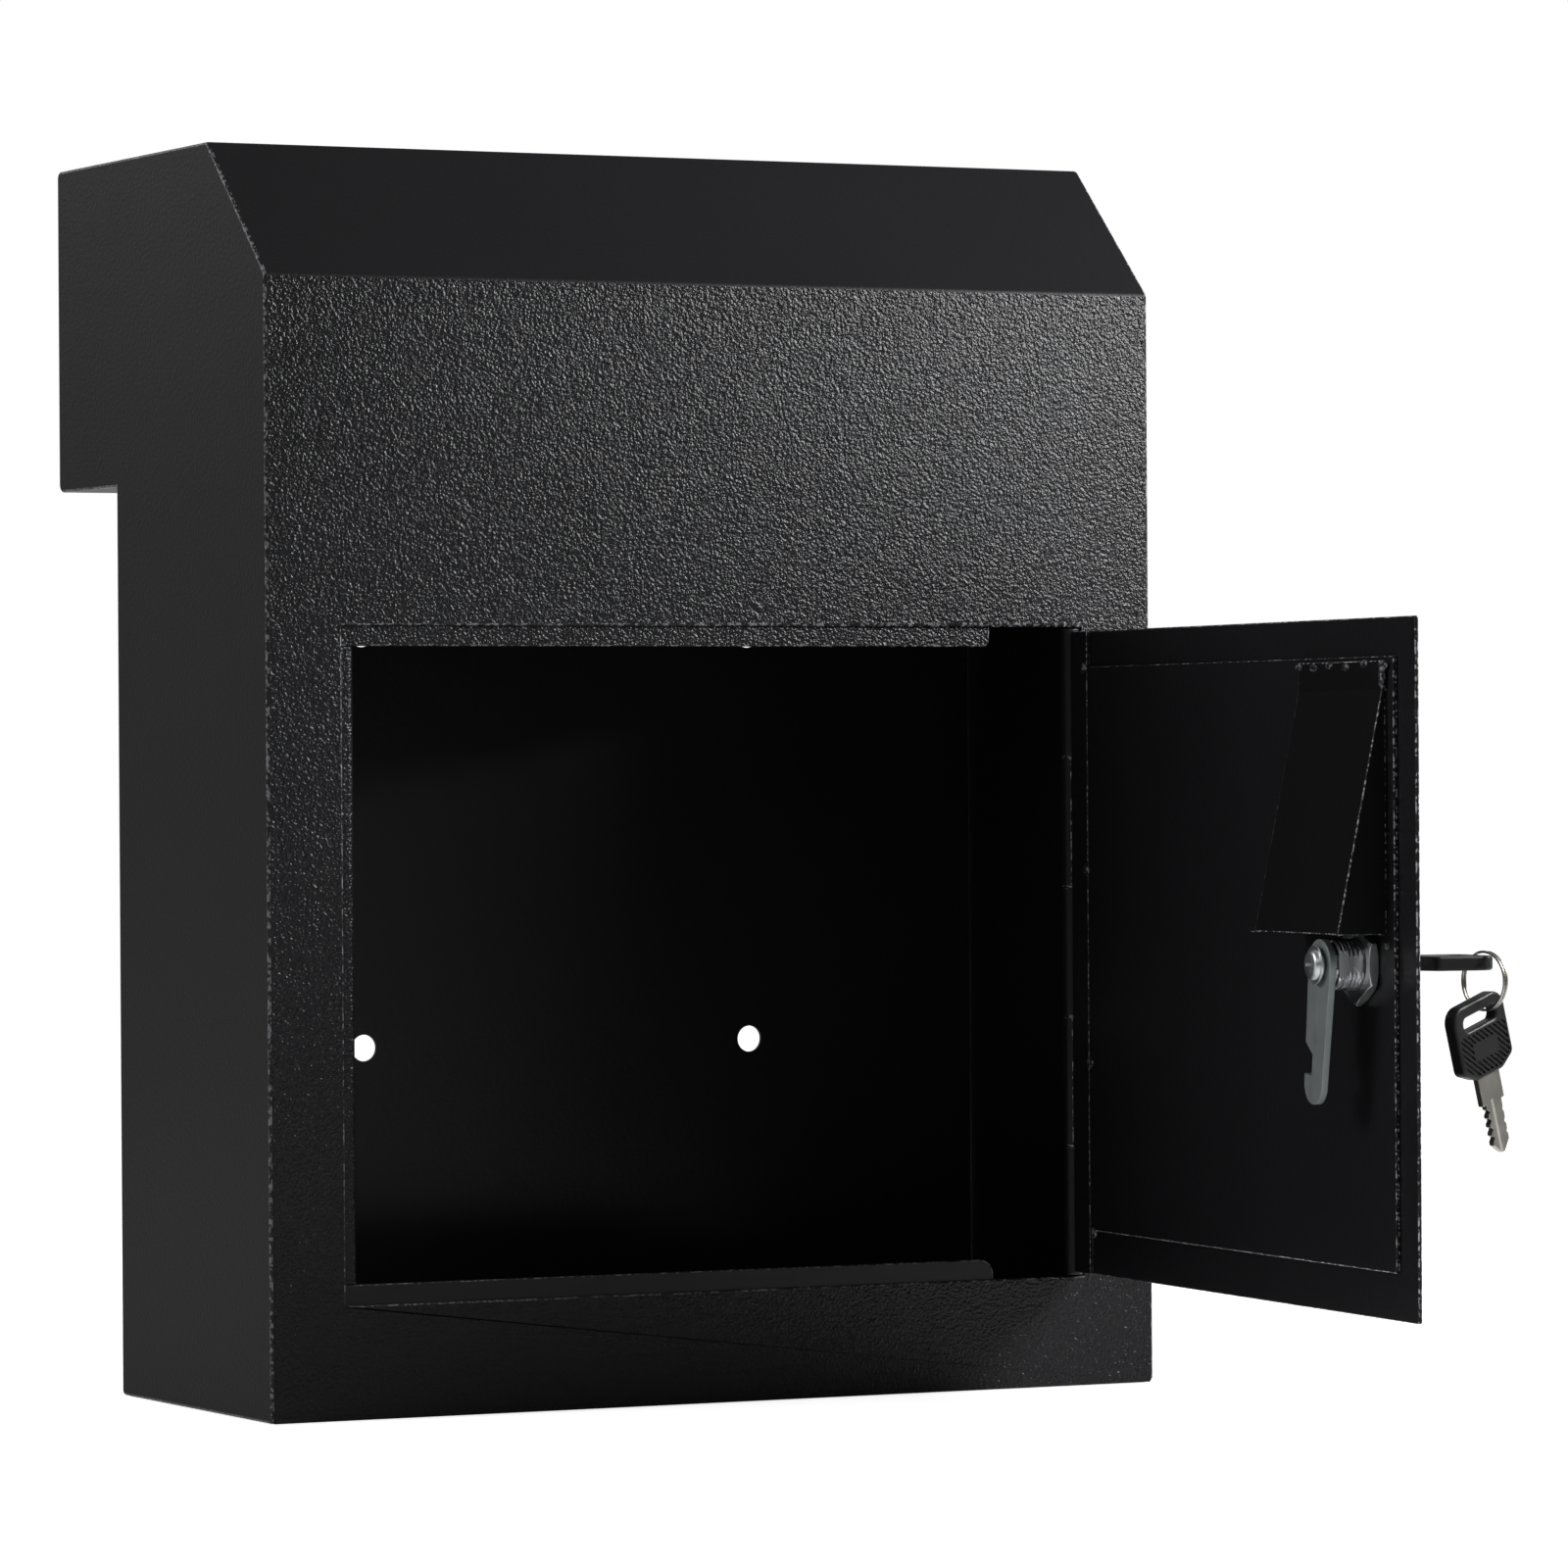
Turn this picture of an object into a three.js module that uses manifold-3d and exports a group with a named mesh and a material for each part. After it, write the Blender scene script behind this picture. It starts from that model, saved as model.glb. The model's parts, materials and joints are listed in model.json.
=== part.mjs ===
// A wall mounted steel mailbox with a chute that reaches back through the wall and a locking front door.
// Units are millimetres. X runs across the box, Y points into the wall and Z points up.
// The origin is the middle of the face that rests on the wall. The door stands open, as in use.

import * as THREE from 'three';
import { mergeVertices } from 'three/addons/utils/BufferGeometryUtils.js';
import Module from 'manifold-3d';

const wasm = await Module();
wasm.setup();

// Box sizes
const boxWidth = 320;
const boxHeight = 410;
const lowerDepth = 129;
const chuteReach = 53;
const chuteHeight = 108.5;
const hoodDrop = 45;
const hoodRun = 48;

// Sheet metal
const sheet = 1.2;
const seam = 0.2;
const foldRadius = 2.5;
const chuteCorner = 3;
const bottomCorner = 2;
const lapWidth = 14;
const overrun = 5;

// Door opening, measured in the front panel
const openingMargin = 25.9;
const openingHeight = 216.8;
const sillHeight = 36.5;

// Strips behind the opening that the closed door rests against
const stopThickness = 1.5;
const stopShow = 6.6;
const stopHidden = 10;
const stopTail = 8;
const stopShort = 34;
const stopCorner = 5;
const keeperShow = 5;
const keeperHidden = 12;
const keeperClearance = 0.5;

// Wall side
const mountHoleRadius = 4.5;
const mountHoleSpacing = 144.8;
const lowerHoleHeight = 113.3;
const upperHoleDrop = 48.5;
const ledgeInset = 12;
const slotMargin = 29;
const slotHeight = 38;
const slotCorner = 4;
const baffleSeat = 16;
const baffleRun = 46;
const baffleDrop = 34;

// Hinge
const hingeBarrelRadius = 3;
const hingePinRadius = 1.3;
const hingeBoreRadius = 1.6;
const hingeSideGap = 0.5;
const hingeEndGap = 0.6;
const hingeSetBack = 1.7;
const hingeLeaf = 1.2;
const hingeLeafReach = 17.5;
const hingeLeafInset = 1;
const hingeRoot = 1;
const knuckleCount = 5;
const knuckleGap = 0.5;
const leafClearance = 0.5;
const doorRestAngle = 84.5;

// Door
const doorGap = 1.5;
const doorCorner = 1;
const plateGap = 0.3;
const innerInsetLatch = 12.4;
const innerInsetTop = 12;
const innerInsetBottom = 14.6;
const doorLeafReach = 16.3;
const lockInset = 34;
const lockRise = 108;

// Sloped guard over the lock
const guardWidth = 60;
const guardInset = 17.1;
const guardTop = 200.5;
const guardFoot = 9;
const guardBottom = 117.2;
const guardStandOff = 15.4;

// Cam lock
const running = 0.3;
const headRadius = 11;
const headThickness = 3.2;
const headEdge = 0.8;
const barrelRadius = 8;
const barrelFlat = 6.75;
const barrelEnd = 14.2;
const threadPitch = 1.3;
const threadDepth = 0.7;
const plugRadius = 6;
const plugFaceRadius = 7;
const plugFaceDepth = 1.4;
const tailHalf = 3;
const tailEnd = 17.1;
const keywayWidth = 8.2;
const keywayHeight = 2.6;
const keywayEnd = 13.1;
const tailHoleRadius = 2;
const nutFlats = 22.2;
const nutThickness = 3.1;
const nutSides = 6;
const stopPinRadius = 0.7;
const stopPinPlace = 7.15;
const stopPinReach = 0.9;
const stopPinRoot = 1;

// Wafers inside the plug
const waferCount = 4;
const waferFirst = 0.3;
const waferSpacing = 2.8;
const waferThickness = 0.9;
const waferHalfLength = 5.3;
const waferHalfHeight = 2.9;
const waferWindowHalfLength = 4.1;
const waferGap = 0.2;

// Stop washer, cam, lock washer and screw, stacked on the tail of the plug
const stopWasherRadius = 7.4;
const stopWasherRelief = 6.1;
const stopWasherThickness = 0.8;
const reliefFrom = 80;
const reliefSweep = 110;
const camThickness = 2.1;
const camHeadRadius = 7.8;
const camReach = 43.2;
const camTipRadius = 6.3;
const camLean = 8;
const camNotchFrom = 24.5;
const camNotchSlope = 3.6;
const camNotchTo = 34.6;
const camNotchDepth = 6.4;
const lockWasherRadius = 4.6;
const lockWasherBore = 2.3;
const lockWasherThickness = 0.6;
const lockWasherSplit = 0.8;
const screwRadius = 1.7;
const screwReach = 5;
const screwFlangeRadius = 5.95;
const screwFlange = 0.7;
const screwPanRadius = 4.6;
const screwPanHeight = 1.6;
const screwCrownRadius = 3.6;
const screwCrownDrop = 0.4;
const crossLength = 5.2;
const crossWidth = 0.9;
const crossDepth = 1.1;

// Keys
const keyThickness = 2;
const keyNeck = 8.9;
const keyNeckWidth = 10.7;
const keyBladeWidth = 7.6;
const keyBladeLength = 16.2;
const keyTip = 3.2;
const keyTang = 9;
const bitCount = 4;
const bitDepth = 1.1;
const bitPitch = 2.8;
const bitReach = 0.95;
const bitStart = 2.4;
const bowWidth = 25;
const bowLength = 24;
const bowThickness = 4.5;
const bowCorner = 5;
const bowShoulder = 3.4;
const bowShoulderCorner = 2.4;
const bowEdge = 1;
const bowSlotWidth = 16;
const bowSlotHeight = 4.4;
const bowBar = 3.8;
const bowSlotCorner = 1.9;

// Split ring, and the second key that hangs from it
const ringRadius = 9;
const wireRadius = 0.45;
const ringPitch = 1.1;
const ringStepAt = 150;
const ringStepSweep = 70;
const ringDrop = 5.5;
const ringAlong = 3.6;
const ringTurn = 19;
const spareTurn = -65;
const spareTilt = -17;
const spareAlongSlot = 5.3;
const spareSeat = 1.42;

// How finely curves are cut into straight steps
const arcSteps = 4;
const holeSteps = 10;
const roundSteps = 36;
const smallSteps = 16;
const barrelSteps = 24;
const wireSides = 8;
const wireSteps = 56;
const bevelSteps = 2;
const mergeTolerance = 1e-4;

const degree = Math.PI / 180;
const fullTurn = 2 * Math.PI;
const rightAngle = Math.PI / 2;

// Planes and places that several pieces share
const frontY = -lowerDepth;
const outerHalf = boxWidth / 2;
const innerHalf = outerHalf - sheet - seam;
const stepHeight = boxHeight - chuteHeight;
const frontHeight = boxHeight - hoodDrop;
const behindFront = frontY + sheet + seam;
const openingHalf = outerHalf - openingMargin;
const openingTop = sillHeight + openingHeight;
const hingeX = openingHalf - hingeSideGap - hingeBarrelRadius;
const hingeY = frontY + hingeSetBack;
const doorLeft = -openingHalf + doorGap;
const doorRight = hingeX - hingeBarrelRadius - leafClearance;
const doorBottom = sillHeight + doorGap;
const doorTop = openingTop - doorGap;
const doorBack = frontY + sheet;
const innerPlateFront = doorBack + plateGap;
const innerPlateBack = innerPlateFront + sheet;
const lockX = doorLeft + lockInset;
const lockZ = doorBottom + lockRise;

// Pieces stacked on the tail of the plug, measured from the front panel's face, a running gap apart
const stopWasherFront = barrelEnd + running;
const camFront = stopWasherFront + stopWasherThickness + running;
const lockWasherFront = camFront + camThickness + running;
const screwSeat = lockWasherFront + lockWasherThickness + running;

// Finishes, each as a maker of new materials from colour, roughness and metalness
function finish(color, roughness, metalness) {
  return () => new THREE.MeshStandardMaterial({ color, roughness, metalness });
}
const powderCoat = finish(0x1c1d20, 0.45, 0.2);
const zinc = finish(0xb4b8bb, 0.35, 0.9);
const chrome = finish(0xd0d2d4, 0.15, 1);
const brass = finish(0xb08d45, 0.35, 0.9);
const nickel = finish(0xc9c4b8, 0.3, 0.9);
const blackPlastic = finish(0x2a2b2e, 0.5, 0);

// A closed outline through corners given as [u, v, radius], each corner rounded by its own radius
function outline(corners) {
  const shape = new THREE.Shape();
  corners.forEach(([u, v, radius], index) => {
    const before = corners[(index + corners.length - 1) % corners.length];
    const after = corners[(index + 1) % corners.length];
    const here = new THREE.Vector2(u, v);
    const toBefore = new THREE.Vector2(before[0] - u, before[1] - v).normalize();
    const toAfter = new THREE.Vector2(after[0] - u, after[1] - v).normalize();
    if (!radius) {
      if (index === 0) shape.moveTo(u, v);
      else shape.lineTo(u, v);
      return;
    }
    const half = Math.acos(toBefore.dot(toAfter)) / 2;
    const toCentre = toBefore.clone().add(toAfter).normalize();
    const centre = here.clone().addScaledVector(toCentre, radius / Math.sin(half));
    const start = here.clone().addScaledVector(toBefore, radius / Math.tan(half)).sub(centre);
    const end = here.clone().addScaledVector(toAfter, radius / Math.tan(half)).sub(centre);
    const from = start.angle();
    const clockwise = toBefore.cross(toAfter) > 0;
    if (index > 0) shape.lineTo(centre.x + radius * Math.cos(from), centre.y + radius * Math.sin(from));
    shape.absarc(centre.x, centre.y, radius, from, end.angle(), clockwise);
  });
  shape.closePath();
  return shape;
}

function rectangle(left, bottom, right, top, radius = 0) {
  return outline([
    [left, bottom, radius],
    [right, bottom, radius],
    [right, top, radius],
    [left, top, radius],
  ]);
}

function circle(u, v, radius) {
  const path = new THREE.Path();
  path.absarc(u, v, radius, 0, fullTurn);
  return path;
}

// The edge view of a sheet folded along a path; side 1 lays its thickness left of the path, -1 right of it
function foldedSheet(path, thickness, radius, side) {
  const places = path.map(([u, v]) => new THREE.Vector2(u, v));
  const last = places.length - 1;
  const direction = (index) => places[index + 1].clone().sub(places[index]).normalize();
  const leftOf = (vector) => new THREE.Vector2(-vector.y, vector.x);
  const face = [];
  const back = [];
  places.forEach((place, index) => {
    const arriving = direction(Math.max(index - 1, 0));
    const leaving = direction(Math.min(index, last - 1));
    const folded = index > 0 && index < last;
    const faceOutside = arriving.cross(leaving) * side > 0;
    const shift = leftOf(arriving).add(leftOf(leaving)).divideScalar(1 + arriving.dot(leaving));
    const behind = place.clone().addScaledVector(shift, side * thickness);
    face.push([place.x, place.y, folded ? radius - (faceOutside ? 0 : thickness) : 0]);
    back.unshift([behind.x, behind.y, folded ? radius - (faceOutside ? thickness : 0) : 0]);
  });
  return outline([...face, ...back]);
}

const xAxis = new THREE.Vector3(1, 0, 0);
const yAxis = new THREE.Vector3(0, 1, 0);
const zAxis = new THREE.Vector3(0, 0, 1);

function extrude(shape, depth, curveSegments = arcSteps) {
  return new THREE.ExtrudeGeometry(shape, { depth, bevelEnabled: false, curveSegments });
}

// An outline in Y and Z, drawn out along X
function alongX(shape, from, to) {
  const geometry = extrude(shape, to - from);
  geometry.applyMatrix4(new THREE.Matrix4().makeBasis(yAxis, zAxis, xAxis));
  return geometry.translate(from, 0, 0);
}

// An outline in X and Z, with its front face at a given Y
function facing(shape, front, thickness, curveSegments = arcSteps) {
  const geometry = extrude(shape, thickness, curveSegments);
  geometry.applyMatrix4(new THREE.Matrix4().makeBasis(xAxis, zAxis, yAxis.clone().negate()));
  return geometry.translate(0, front + thickness, 0);
}

// An outline in X and Y, drawn out along Z
function upward(shape, from, to) {
  return extrude(shape, to - from).translate(0, 0, from);
}

// A block given by its two far corners
function block(low, high) {
  const size = high.map((value, index) => value - low[index]);
  const middle = high.map((value, index) => (value + low[index]) / 2);
  return new THREE.BoxGeometry(...size).translate(...middle);
}

// A turned piece about the Y axis, from a profile of [radius, y] places
function turned(profile, steps = roundSteps) {
  return new THREE.LatheGeometry(profile.map(([radius, y]) => new THREE.Vector2(radius, y)), steps);
}

function tube(inner, outer, from, to, steps = roundSteps) {
  return turned([[inner, from], [outer, from], [outer, to], [inner, to], [inner, from]], steps);
}

function rod(radius, from, to, steps = roundSteps) {
  return turned([[0, from], [radius, from], [radius, to], [0, to]], steps);
}

// Geometry to solid and back, for cutting and joining
function toSolid(geometry) {
  const bare = geometry.clone();
  bare.deleteAttribute('normal');
  bare.deleteAttribute('uv');
  const merged = mergeVertices(bare, mergeTolerance);
  const corners = merged.index.array;
  const triangles = [];
  for (let i = 0; i < corners.length; i += 3) {
    const [a, b, c] = corners.slice(i, i + 3);
    if (a !== b && b !== c && c !== a) triangles.push(a, b, c);
  }
  const vertProperties = new Float32Array(merged.attributes.position.array);
  const triVerts = new Uint32Array(triangles);
  return new wasm.Manifold(new wasm.Mesh({ numProp: 3, vertProperties, triVerts }));
}

function toGeometry(solid) {
  const mesh = solid.getMesh();
  const geometry = new THREE.BufferGeometry();
  const places = new Float32Array(mesh.vertProperties);
  geometry.setAttribute('position', new THREE.BufferAttribute(places, 3));
  geometry.setIndex(new THREE.BufferAttribute(new Uint32Array(mesh.triVerts), 1));
  geometry.computeVertexNormals();
  return geometry;
}

function cut(geometry, ...cutters) {
  let solid = toSolid(geometry);
  for (const cutter of cutters) solid = solid.subtract(toSolid(cutter));
  return toGeometry(solid);
}

function join(first, ...others) {
  let solid = toSolid(first);
  for (const other of others) solid = solid.add(toSolid(other));
  return toGeometry(solid);
}

function add(group, name, geometry, material) {
  const mesh = new THREE.Mesh(geometry, material);
  mesh.name = name;
  group.add(mesh);
  return mesh;
}

function subgroup(parent, x, y, z) {
  const group = new THREE.Group();
  group.position.set(x, y, z);
  parent.add(group);
  return group;
}

// Front, hood and top: one folded sheet between the side panels, with the door opening cut in it
function frontHoodPanel() {
  const path = [
    [frontY, 0],
    [frontY, frontHeight],
    [frontY + hoodRun, boxHeight],
    [chuteReach, boxHeight],
    [chuteReach, boxHeight - lapWidth],
  ];
  const wrap = alongX(foldedSheet(path, sheet, foldRadius, -1), -innerHalf, innerHalf);
  const opening = rectangle(-openingHalf, sillHeight, openingHalf, openingTop);
  return cut(wrap, facing(opening, frontY - overrun, 2 * overrun));
}

// Side panel: a flat sheet with the whole profile of the box
function sidePanel(from, to) {
  const profile = outline([
    [frontY, 0, bottomCorner],
    [0, 0, bottomCorner],
    [0, stepHeight, 0],
    [chuteReach, stepHeight, chuteCorner],
    [chuteReach, boxHeight, foldRadius],
    [frontY + hoodRun, boxHeight, foldRadius],
    [frontY, frontHeight, foldRadius],
  ]);
  return alongX(profile, from, to);
}

// Bottom: a tray whose flanges are welded inside the front and back panels
function bottomPanel() {
  const back = -sheet - seam;
  const path = [[behindFront, lapWidth], [behindFront, 0], [back, 0], [back, lapWidth]];
  return alongX(foldedSheet(path, sheet, foldRadius, 1), -innerHalf, innerHalf);
}

// Lower back: the flat face that rests on the wall, with four mounting holes
function lowerBackPanel() {
  const panel = rectangle(-innerHalf, 0, innerHalf, stepHeight - seam);
  for (const x of [-mountHoleSpacing / 2, mountHoleSpacing / 2]) {
    for (const z of [lowerHoleHeight, stepHeight - upperHoleDrop]) {
      panel.holes.push(circle(x, z, mountHoleRadius));
    }
  }
  return facing(panel, -sheet, sheet, smallSteps);
}

// Rear of the chute with the mail slot, folded forward at its foot into the ledge
function chuteRearPanel() {
  const rear = chuteReach - sheet - seam;
  const path = [[rear, boxHeight - foldRadius - seam], [rear, stepHeight], [-ledgeInset, stepHeight]];
  const panel = alongX(foldedSheet(path, sheet, foldRadius, -1), -innerHalf, innerHalf);
  const slotBottom = stepHeight + (chuteHeight - lapWidth - slotHeight) / 2;
  const slotHalf = outerHalf - slotMargin;
  const slot = rectangle(-slotHalf, slotBottom, slotHalf, slotBottom + slotHeight, slotCorner);
  return cut(panel, facing(slot, rear - overrun, 2 * overrun));
}

// Baffle: seated on the ledge, then sloping down into the box so that mail slides in and hands stay out
function chuteBaffle() {
  const seat = stepHeight + sheet + seam;
  const foldAt = -ledgeInset - foldRadius;
  const path = [[foldAt + baffleSeat, seat], [foldAt, seat], [foldAt - baffleRun, seat - baffleDrop]];
  return alongX(foldedSheet(path, sheet, foldRadius, -1), -innerHalf, innerHalf);
}

// Stop strip above or below the opening, welded behind the front panel
function stopStrip(low, high, lowRadius, highRadius) {
  const left = -openingHalf - stopTail;
  const right = openingHalf - stopShort;
  const strip = outline([
    [left, low, 0],
    [right, low, lowRadius],
    [right, high, highRadius],
    [left, high, 0],
  ]);
  return facing(strip, behindFront, stopThickness);
}

// Keeper: an angle on the latch side, whose inward leg the cam turns behind
function doorKeeper() {
  const left = -openingHalf - keeperHidden;
  const right = -openingHalf + keeperShow;
  const legEdge = frontY + camFront - keeperClearance;
  const path = [[left, behindFront], [right, behindFront], [right, legEdge]];
  const low = sillHeight + stopShow + seam;
  const high = openingTop - stopShow - seam;
  return upward(foldedSheet(path, sheet, foldRadius, 1), low, high);
}

// Knuckles and leaf of one half of the hinge; even knuckles belong to the body, odd ones to the door
function hingeHalf(parity, leafEdge, leafFront) {
  const bottom = sillHeight + hingeEndGap;
  const length = openingHeight - 2 * hingeEndGap;
  const pitch = (length + knuckleGap) / knuckleCount;
  const knuckleLength = pitch - knuckleGap;
  const side = Math.sign(leafEdge - hingeX);
  const clear = hingeX + side * (hingeBarrelRadius + leafClearance);
  const root = hingeX + side * (hingeBoreRadius + hingeRoot / 2);
  const leafBack = leafFront + hingeLeaf;
  const parts = [block(
    [Math.min(leafEdge, clear), leafFront, bottom + hingeLeafInset],
    [Math.max(leafEdge, clear), leafBack, bottom + length - hingeLeafInset],
  )];
  for (let index = parity; index < knuckleCount; index += 2) {
    const from = bottom + index * pitch;
    const to = from + knuckleLength;
    const knuckle = tube(hingeBoreRadius, hingeBarrelRadius, from, to, barrelSteps);
    parts.push(knuckle.rotateX(rightAngle).translate(hingeX, hingeY, 0));
    parts.push(block(
      [Math.min(root, clear), leafFront, from],
      [Math.max(root, clear), leafBack, to],
    ));
  }
  return join(...parts);
}

// Outline with two flats, as the lock barrel has, drawn in X and Z
function doubleFlat(radius, flat) {
  const shape = new THREE.Shape();
  const angle = Math.acos(flat / radius);
  shape.absarc(0, 0, radius, angle, Math.PI - angle, false);
  shape.absarc(0, 0, radius, Math.PI + angle, fullTurn - angle, false);
  shape.closePath();
  return shape;
}

function lockHole() {
  const shape = doubleFlat(barrelRadius + running, barrelFlat + running);
  const centre = new THREE.Vector2(lockX, lockZ);
  return new THREE.Path(shape.getPoints(holeSteps).map((place) => place.clone().add(centre)));
}

// Door: an outer plate that lies flush in the opening and a smaller plate that stiffens its inside
function doorPlate() {
  const plate = rectangle(doorLeft, doorBottom, doorRight, doorTop, doorCorner);
  plate.holes.push(lockHole());
  return facing(plate, frontY, sheet);
}

function doorInnerPlate() {
  const left = doorLeft + innerInsetLatch;
  const right = hingeX - doorLeafReach - plateGap;
  const plate = rectangle(left, doorBottom + innerInsetBottom, right, doorTop - innerInsetTop);
  plate.holes.push(lockHole());
  return facing(plate, innerPlateFront, sheet);
}

// Guard: a sloped plate with two side walls that keeps falling mail off the cam
function lockGuard() {
  const left = doorLeft + guardInset;
  const right = left + guardWidth;
  const foot = innerPlateBack + plateGap;
  const top = doorBottom + guardTop;
  const slopeTop = top - guardFoot;
  const bottom = doorBottom + guardBottom;
  const path = [[foot, top], [foot, slopeTop], [foot + guardStandOff, bottom]];
  const cover = alongX(foldedSheet(path, sheet, foldRadius, 1), left, right);
  const wall = outline([
    [foot, slopeTop, 0],
    [foot, bottom, 0],
    [foot + guardStandOff + sheet / 2, bottom, 0],
  ]);
  return join(cover, alongX(wall, left, left + sheet), alongX(wall, right - sheet, right));
}

// Threaded lock barrel with its outside head, two flats and the pin that limits the turn
function lockHousing() {
  const seat = -plateGap;
  const front = seat - headThickness;
  const bore = plugRadius + running;
  const counterbore = plugFaceRadius + running;
  const step = front + plugFaceDepth + running;
  const threadStart = innerPlateBack - frontY + plateGap;
  const ridges = Math.floor((barrelEnd - threadStart) / threadPitch);
  const profile = [
    [counterbore, front],
    [headRadius - headEdge, front],
    [headRadius, front + headEdge],
    [headRadius, seat],
    [barrelRadius, seat],
    [barrelRadius, threadStart],
  ];
  for (let ridge = 0; ridge < ridges; ridge += 1) {
    const start = threadStart + ridge * threadPitch;
    profile.push([barrelRadius - threadDepth, start + threadPitch / 2]);
    profile.push([barrelRadius, start + threadPitch]);
  }
  profile.push([barrelRadius, barrelEnd], [bore, barrelEnd], [bore, step]);
  profile.push([counterbore, step], [counterbore, front]);
  const flatCutters = [-1, 1].map((side) => {
    const inside = side * barrelFlat;
    const outside = side * (headRadius + overrun);
    return block(
      [Math.min(inside, outside), seat, -headRadius],
      [Math.max(inside, outside), barrelEnd + overrun, headRadius],
    );
  });
  const pin = rod(stopPinRadius, barrelEnd - stopPinRoot, barrelEnd + stopPinReach, smallSteps);
  pin.translate(0, 0, stopPinPlace);
  return join(cut(turned(profile), ...flatCutters), pin);
}

function lockNut() {
  const corner = nutFlats / 2 / Math.cos(Math.PI / nutSides);
  const corners = [];
  for (let index = 0; index < nutSides; index += 1) {
    const angle = index * fullTurn / nutSides + rightAngle;
    corners.push([corner * Math.cos(angle), corner * Math.sin(angle), 0]);
  }
  const nut = outline(corners);
  nut.holes.push(circle(0, 0, barrelRadius + running));
  return facing(nut, innerPlateBack - frontY + plateGap, nutThickness, holeSteps);
}

// Turning plug: keyway from the front, wafer slots across, a square tail and a tapped hole behind
function lockPlug() {
  const front = -plateGap - headThickness;
  const body = turned([
    [0, front],
    [plugFaceRadius, front],
    [plugFaceRadius, front + plugFaceDepth],
    [plugRadius, front + plugFaceDepth],
    [plugRadius, barrelEnd],
    [0, barrelEnd],
  ]);
  const tail = block([-tailHalf, barrelEnd - stopPinRoot, -tailHalf], [tailHalf, tailEnd, tailHalf]);
  const keyway = block(
    [-keywayWidth / 2, front - overrun, -keywayHeight / 2],
    [keywayWidth / 2, keywayEnd, keywayHeight / 2],
  );
  const slots = waferPlaces().map((y) => block(
    [-plugFaceRadius, y - waferGap, -waferHalfHeight - waferGap],
    [plugFaceRadius, y + waferThickness + waferGap, waferHalfHeight + waferGap],
  ));
  const tapped = rod(tailHoleRadius, keywayEnd - waferGap, tailEnd + overrun, smallSteps);
  return cut(join(body, tail), keyway, tapped, ...slots);
}

function waferPlaces() {
  return Array.from({ length: waferCount }, (_, index) => waferFirst + index * waferSpacing);
}

// Wafer: a thin plate across the plug, with a window that the key passes through
function waferTumbler(y) {
  const wafer = rectangle(-waferHalfLength, -waferHalfHeight, waferHalfLength, waferHalfHeight);
  const half = keywayHeight / 2;
  wafer.holes.push(rectangle(-waferWindowHalfLength, -half, waferWindowHalfLength, half));
  return facing(wafer, y, waferThickness);
}

function squareHole() {
  const half = tailHalf + running;
  return rectangle(-half, -half, half, half);
}

// Stop washer: its relieved arc lets the housing's pin pass for a quarter turn
function camStopWasher() {
  const from = reliefFrom * degree;
  const to = (reliefFrom + reliefSweep) * degree;
  const washer = new THREE.Shape();
  washer.absarc(0, 0, stopWasherRelief, from, to, false);
  washer.absarc(0, 0, stopWasherRadius, to, from + fullTurn, false);
  washer.closePath();
  washer.holes.push(squareHole());
  return facing(washer, stopWasherFront, stopWasherThickness, smallSteps);
}

// Cam: hangs down from the tail when unlocked; its hook has a sloped notch on the hinge side
function camArm() {
  const tipCentre = camReach - camTipRadius;
  const tangent = Math.asin((camHeadRadius - camTipRadius) / tipCentre);
  const arm = new THREE.Shape();
  arm.absarc(0, 0, camHeadRadius, -tangent, Math.PI + tangent, false);
  arm.absarc(0, -tipCentre, camTipRadius, Math.PI + tangent, fullTurn - tangent, false);
  arm.closePath();
  const outside = camHeadRadius + overrun;
  const inside = camHeadRadius - camNotchDepth;
  const notch = outline([
    [outside, -camNotchFrom + camNotchSlope * overrun / camNotchDepth, 0],
    [inside, -camNotchFrom - camNotchSlope, 0],
    [inside, -camNotchTo, 0],
    [outside, -camNotchTo, 0],
  ]);
  const through = (shape) => facing(shape, camFront - overrun, camThickness + 2 * overrun);
  const hook = cut(facing(arm, camFront, camThickness, holeSteps), through(notch));
  return cut(hook.rotateY(-camLean * degree), through(squareHole()));
}

function camLockWasher() {
  const back = lockWasherFront + lockWasherThickness;
  const ring = tube(lockWasherBore, lockWasherRadius, lockWasherFront, back, smallSteps);
  const half = lockWasherSplit / 2;
  return cut(ring, block(
    [-half, lockWasherFront - overrun, 0],
    [half, lockWasherFront + overrun, lockWasherRadius + overrun],
  ));
}

// Screw: a flanged pan head with a cross recess
function camScrew() {
  const top = screwSeat + screwFlange + screwPanHeight;
  const screw = turned([
    [0, screwSeat - screwReach],
    [screwRadius, screwSeat - screwReach],
    [screwRadius, screwSeat],
    [screwFlangeRadius, screwSeat],
    [screwFlangeRadius, screwSeat + screwFlange],
    [screwPanRadius, screwSeat + screwFlange],
    [screwCrownRadius, top - screwCrownDrop],
    [0, top],
  ], smallSteps);
  const recess = [[crossLength, crossWidth], [crossWidth, crossLength]].map(([x, z]) => block(
    [-x / 2, top - crossDepth, -z / 2],
    [x / 2, top + overrun, z / 2],
  ));
  return cut(screw, ...recess);
}

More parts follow.
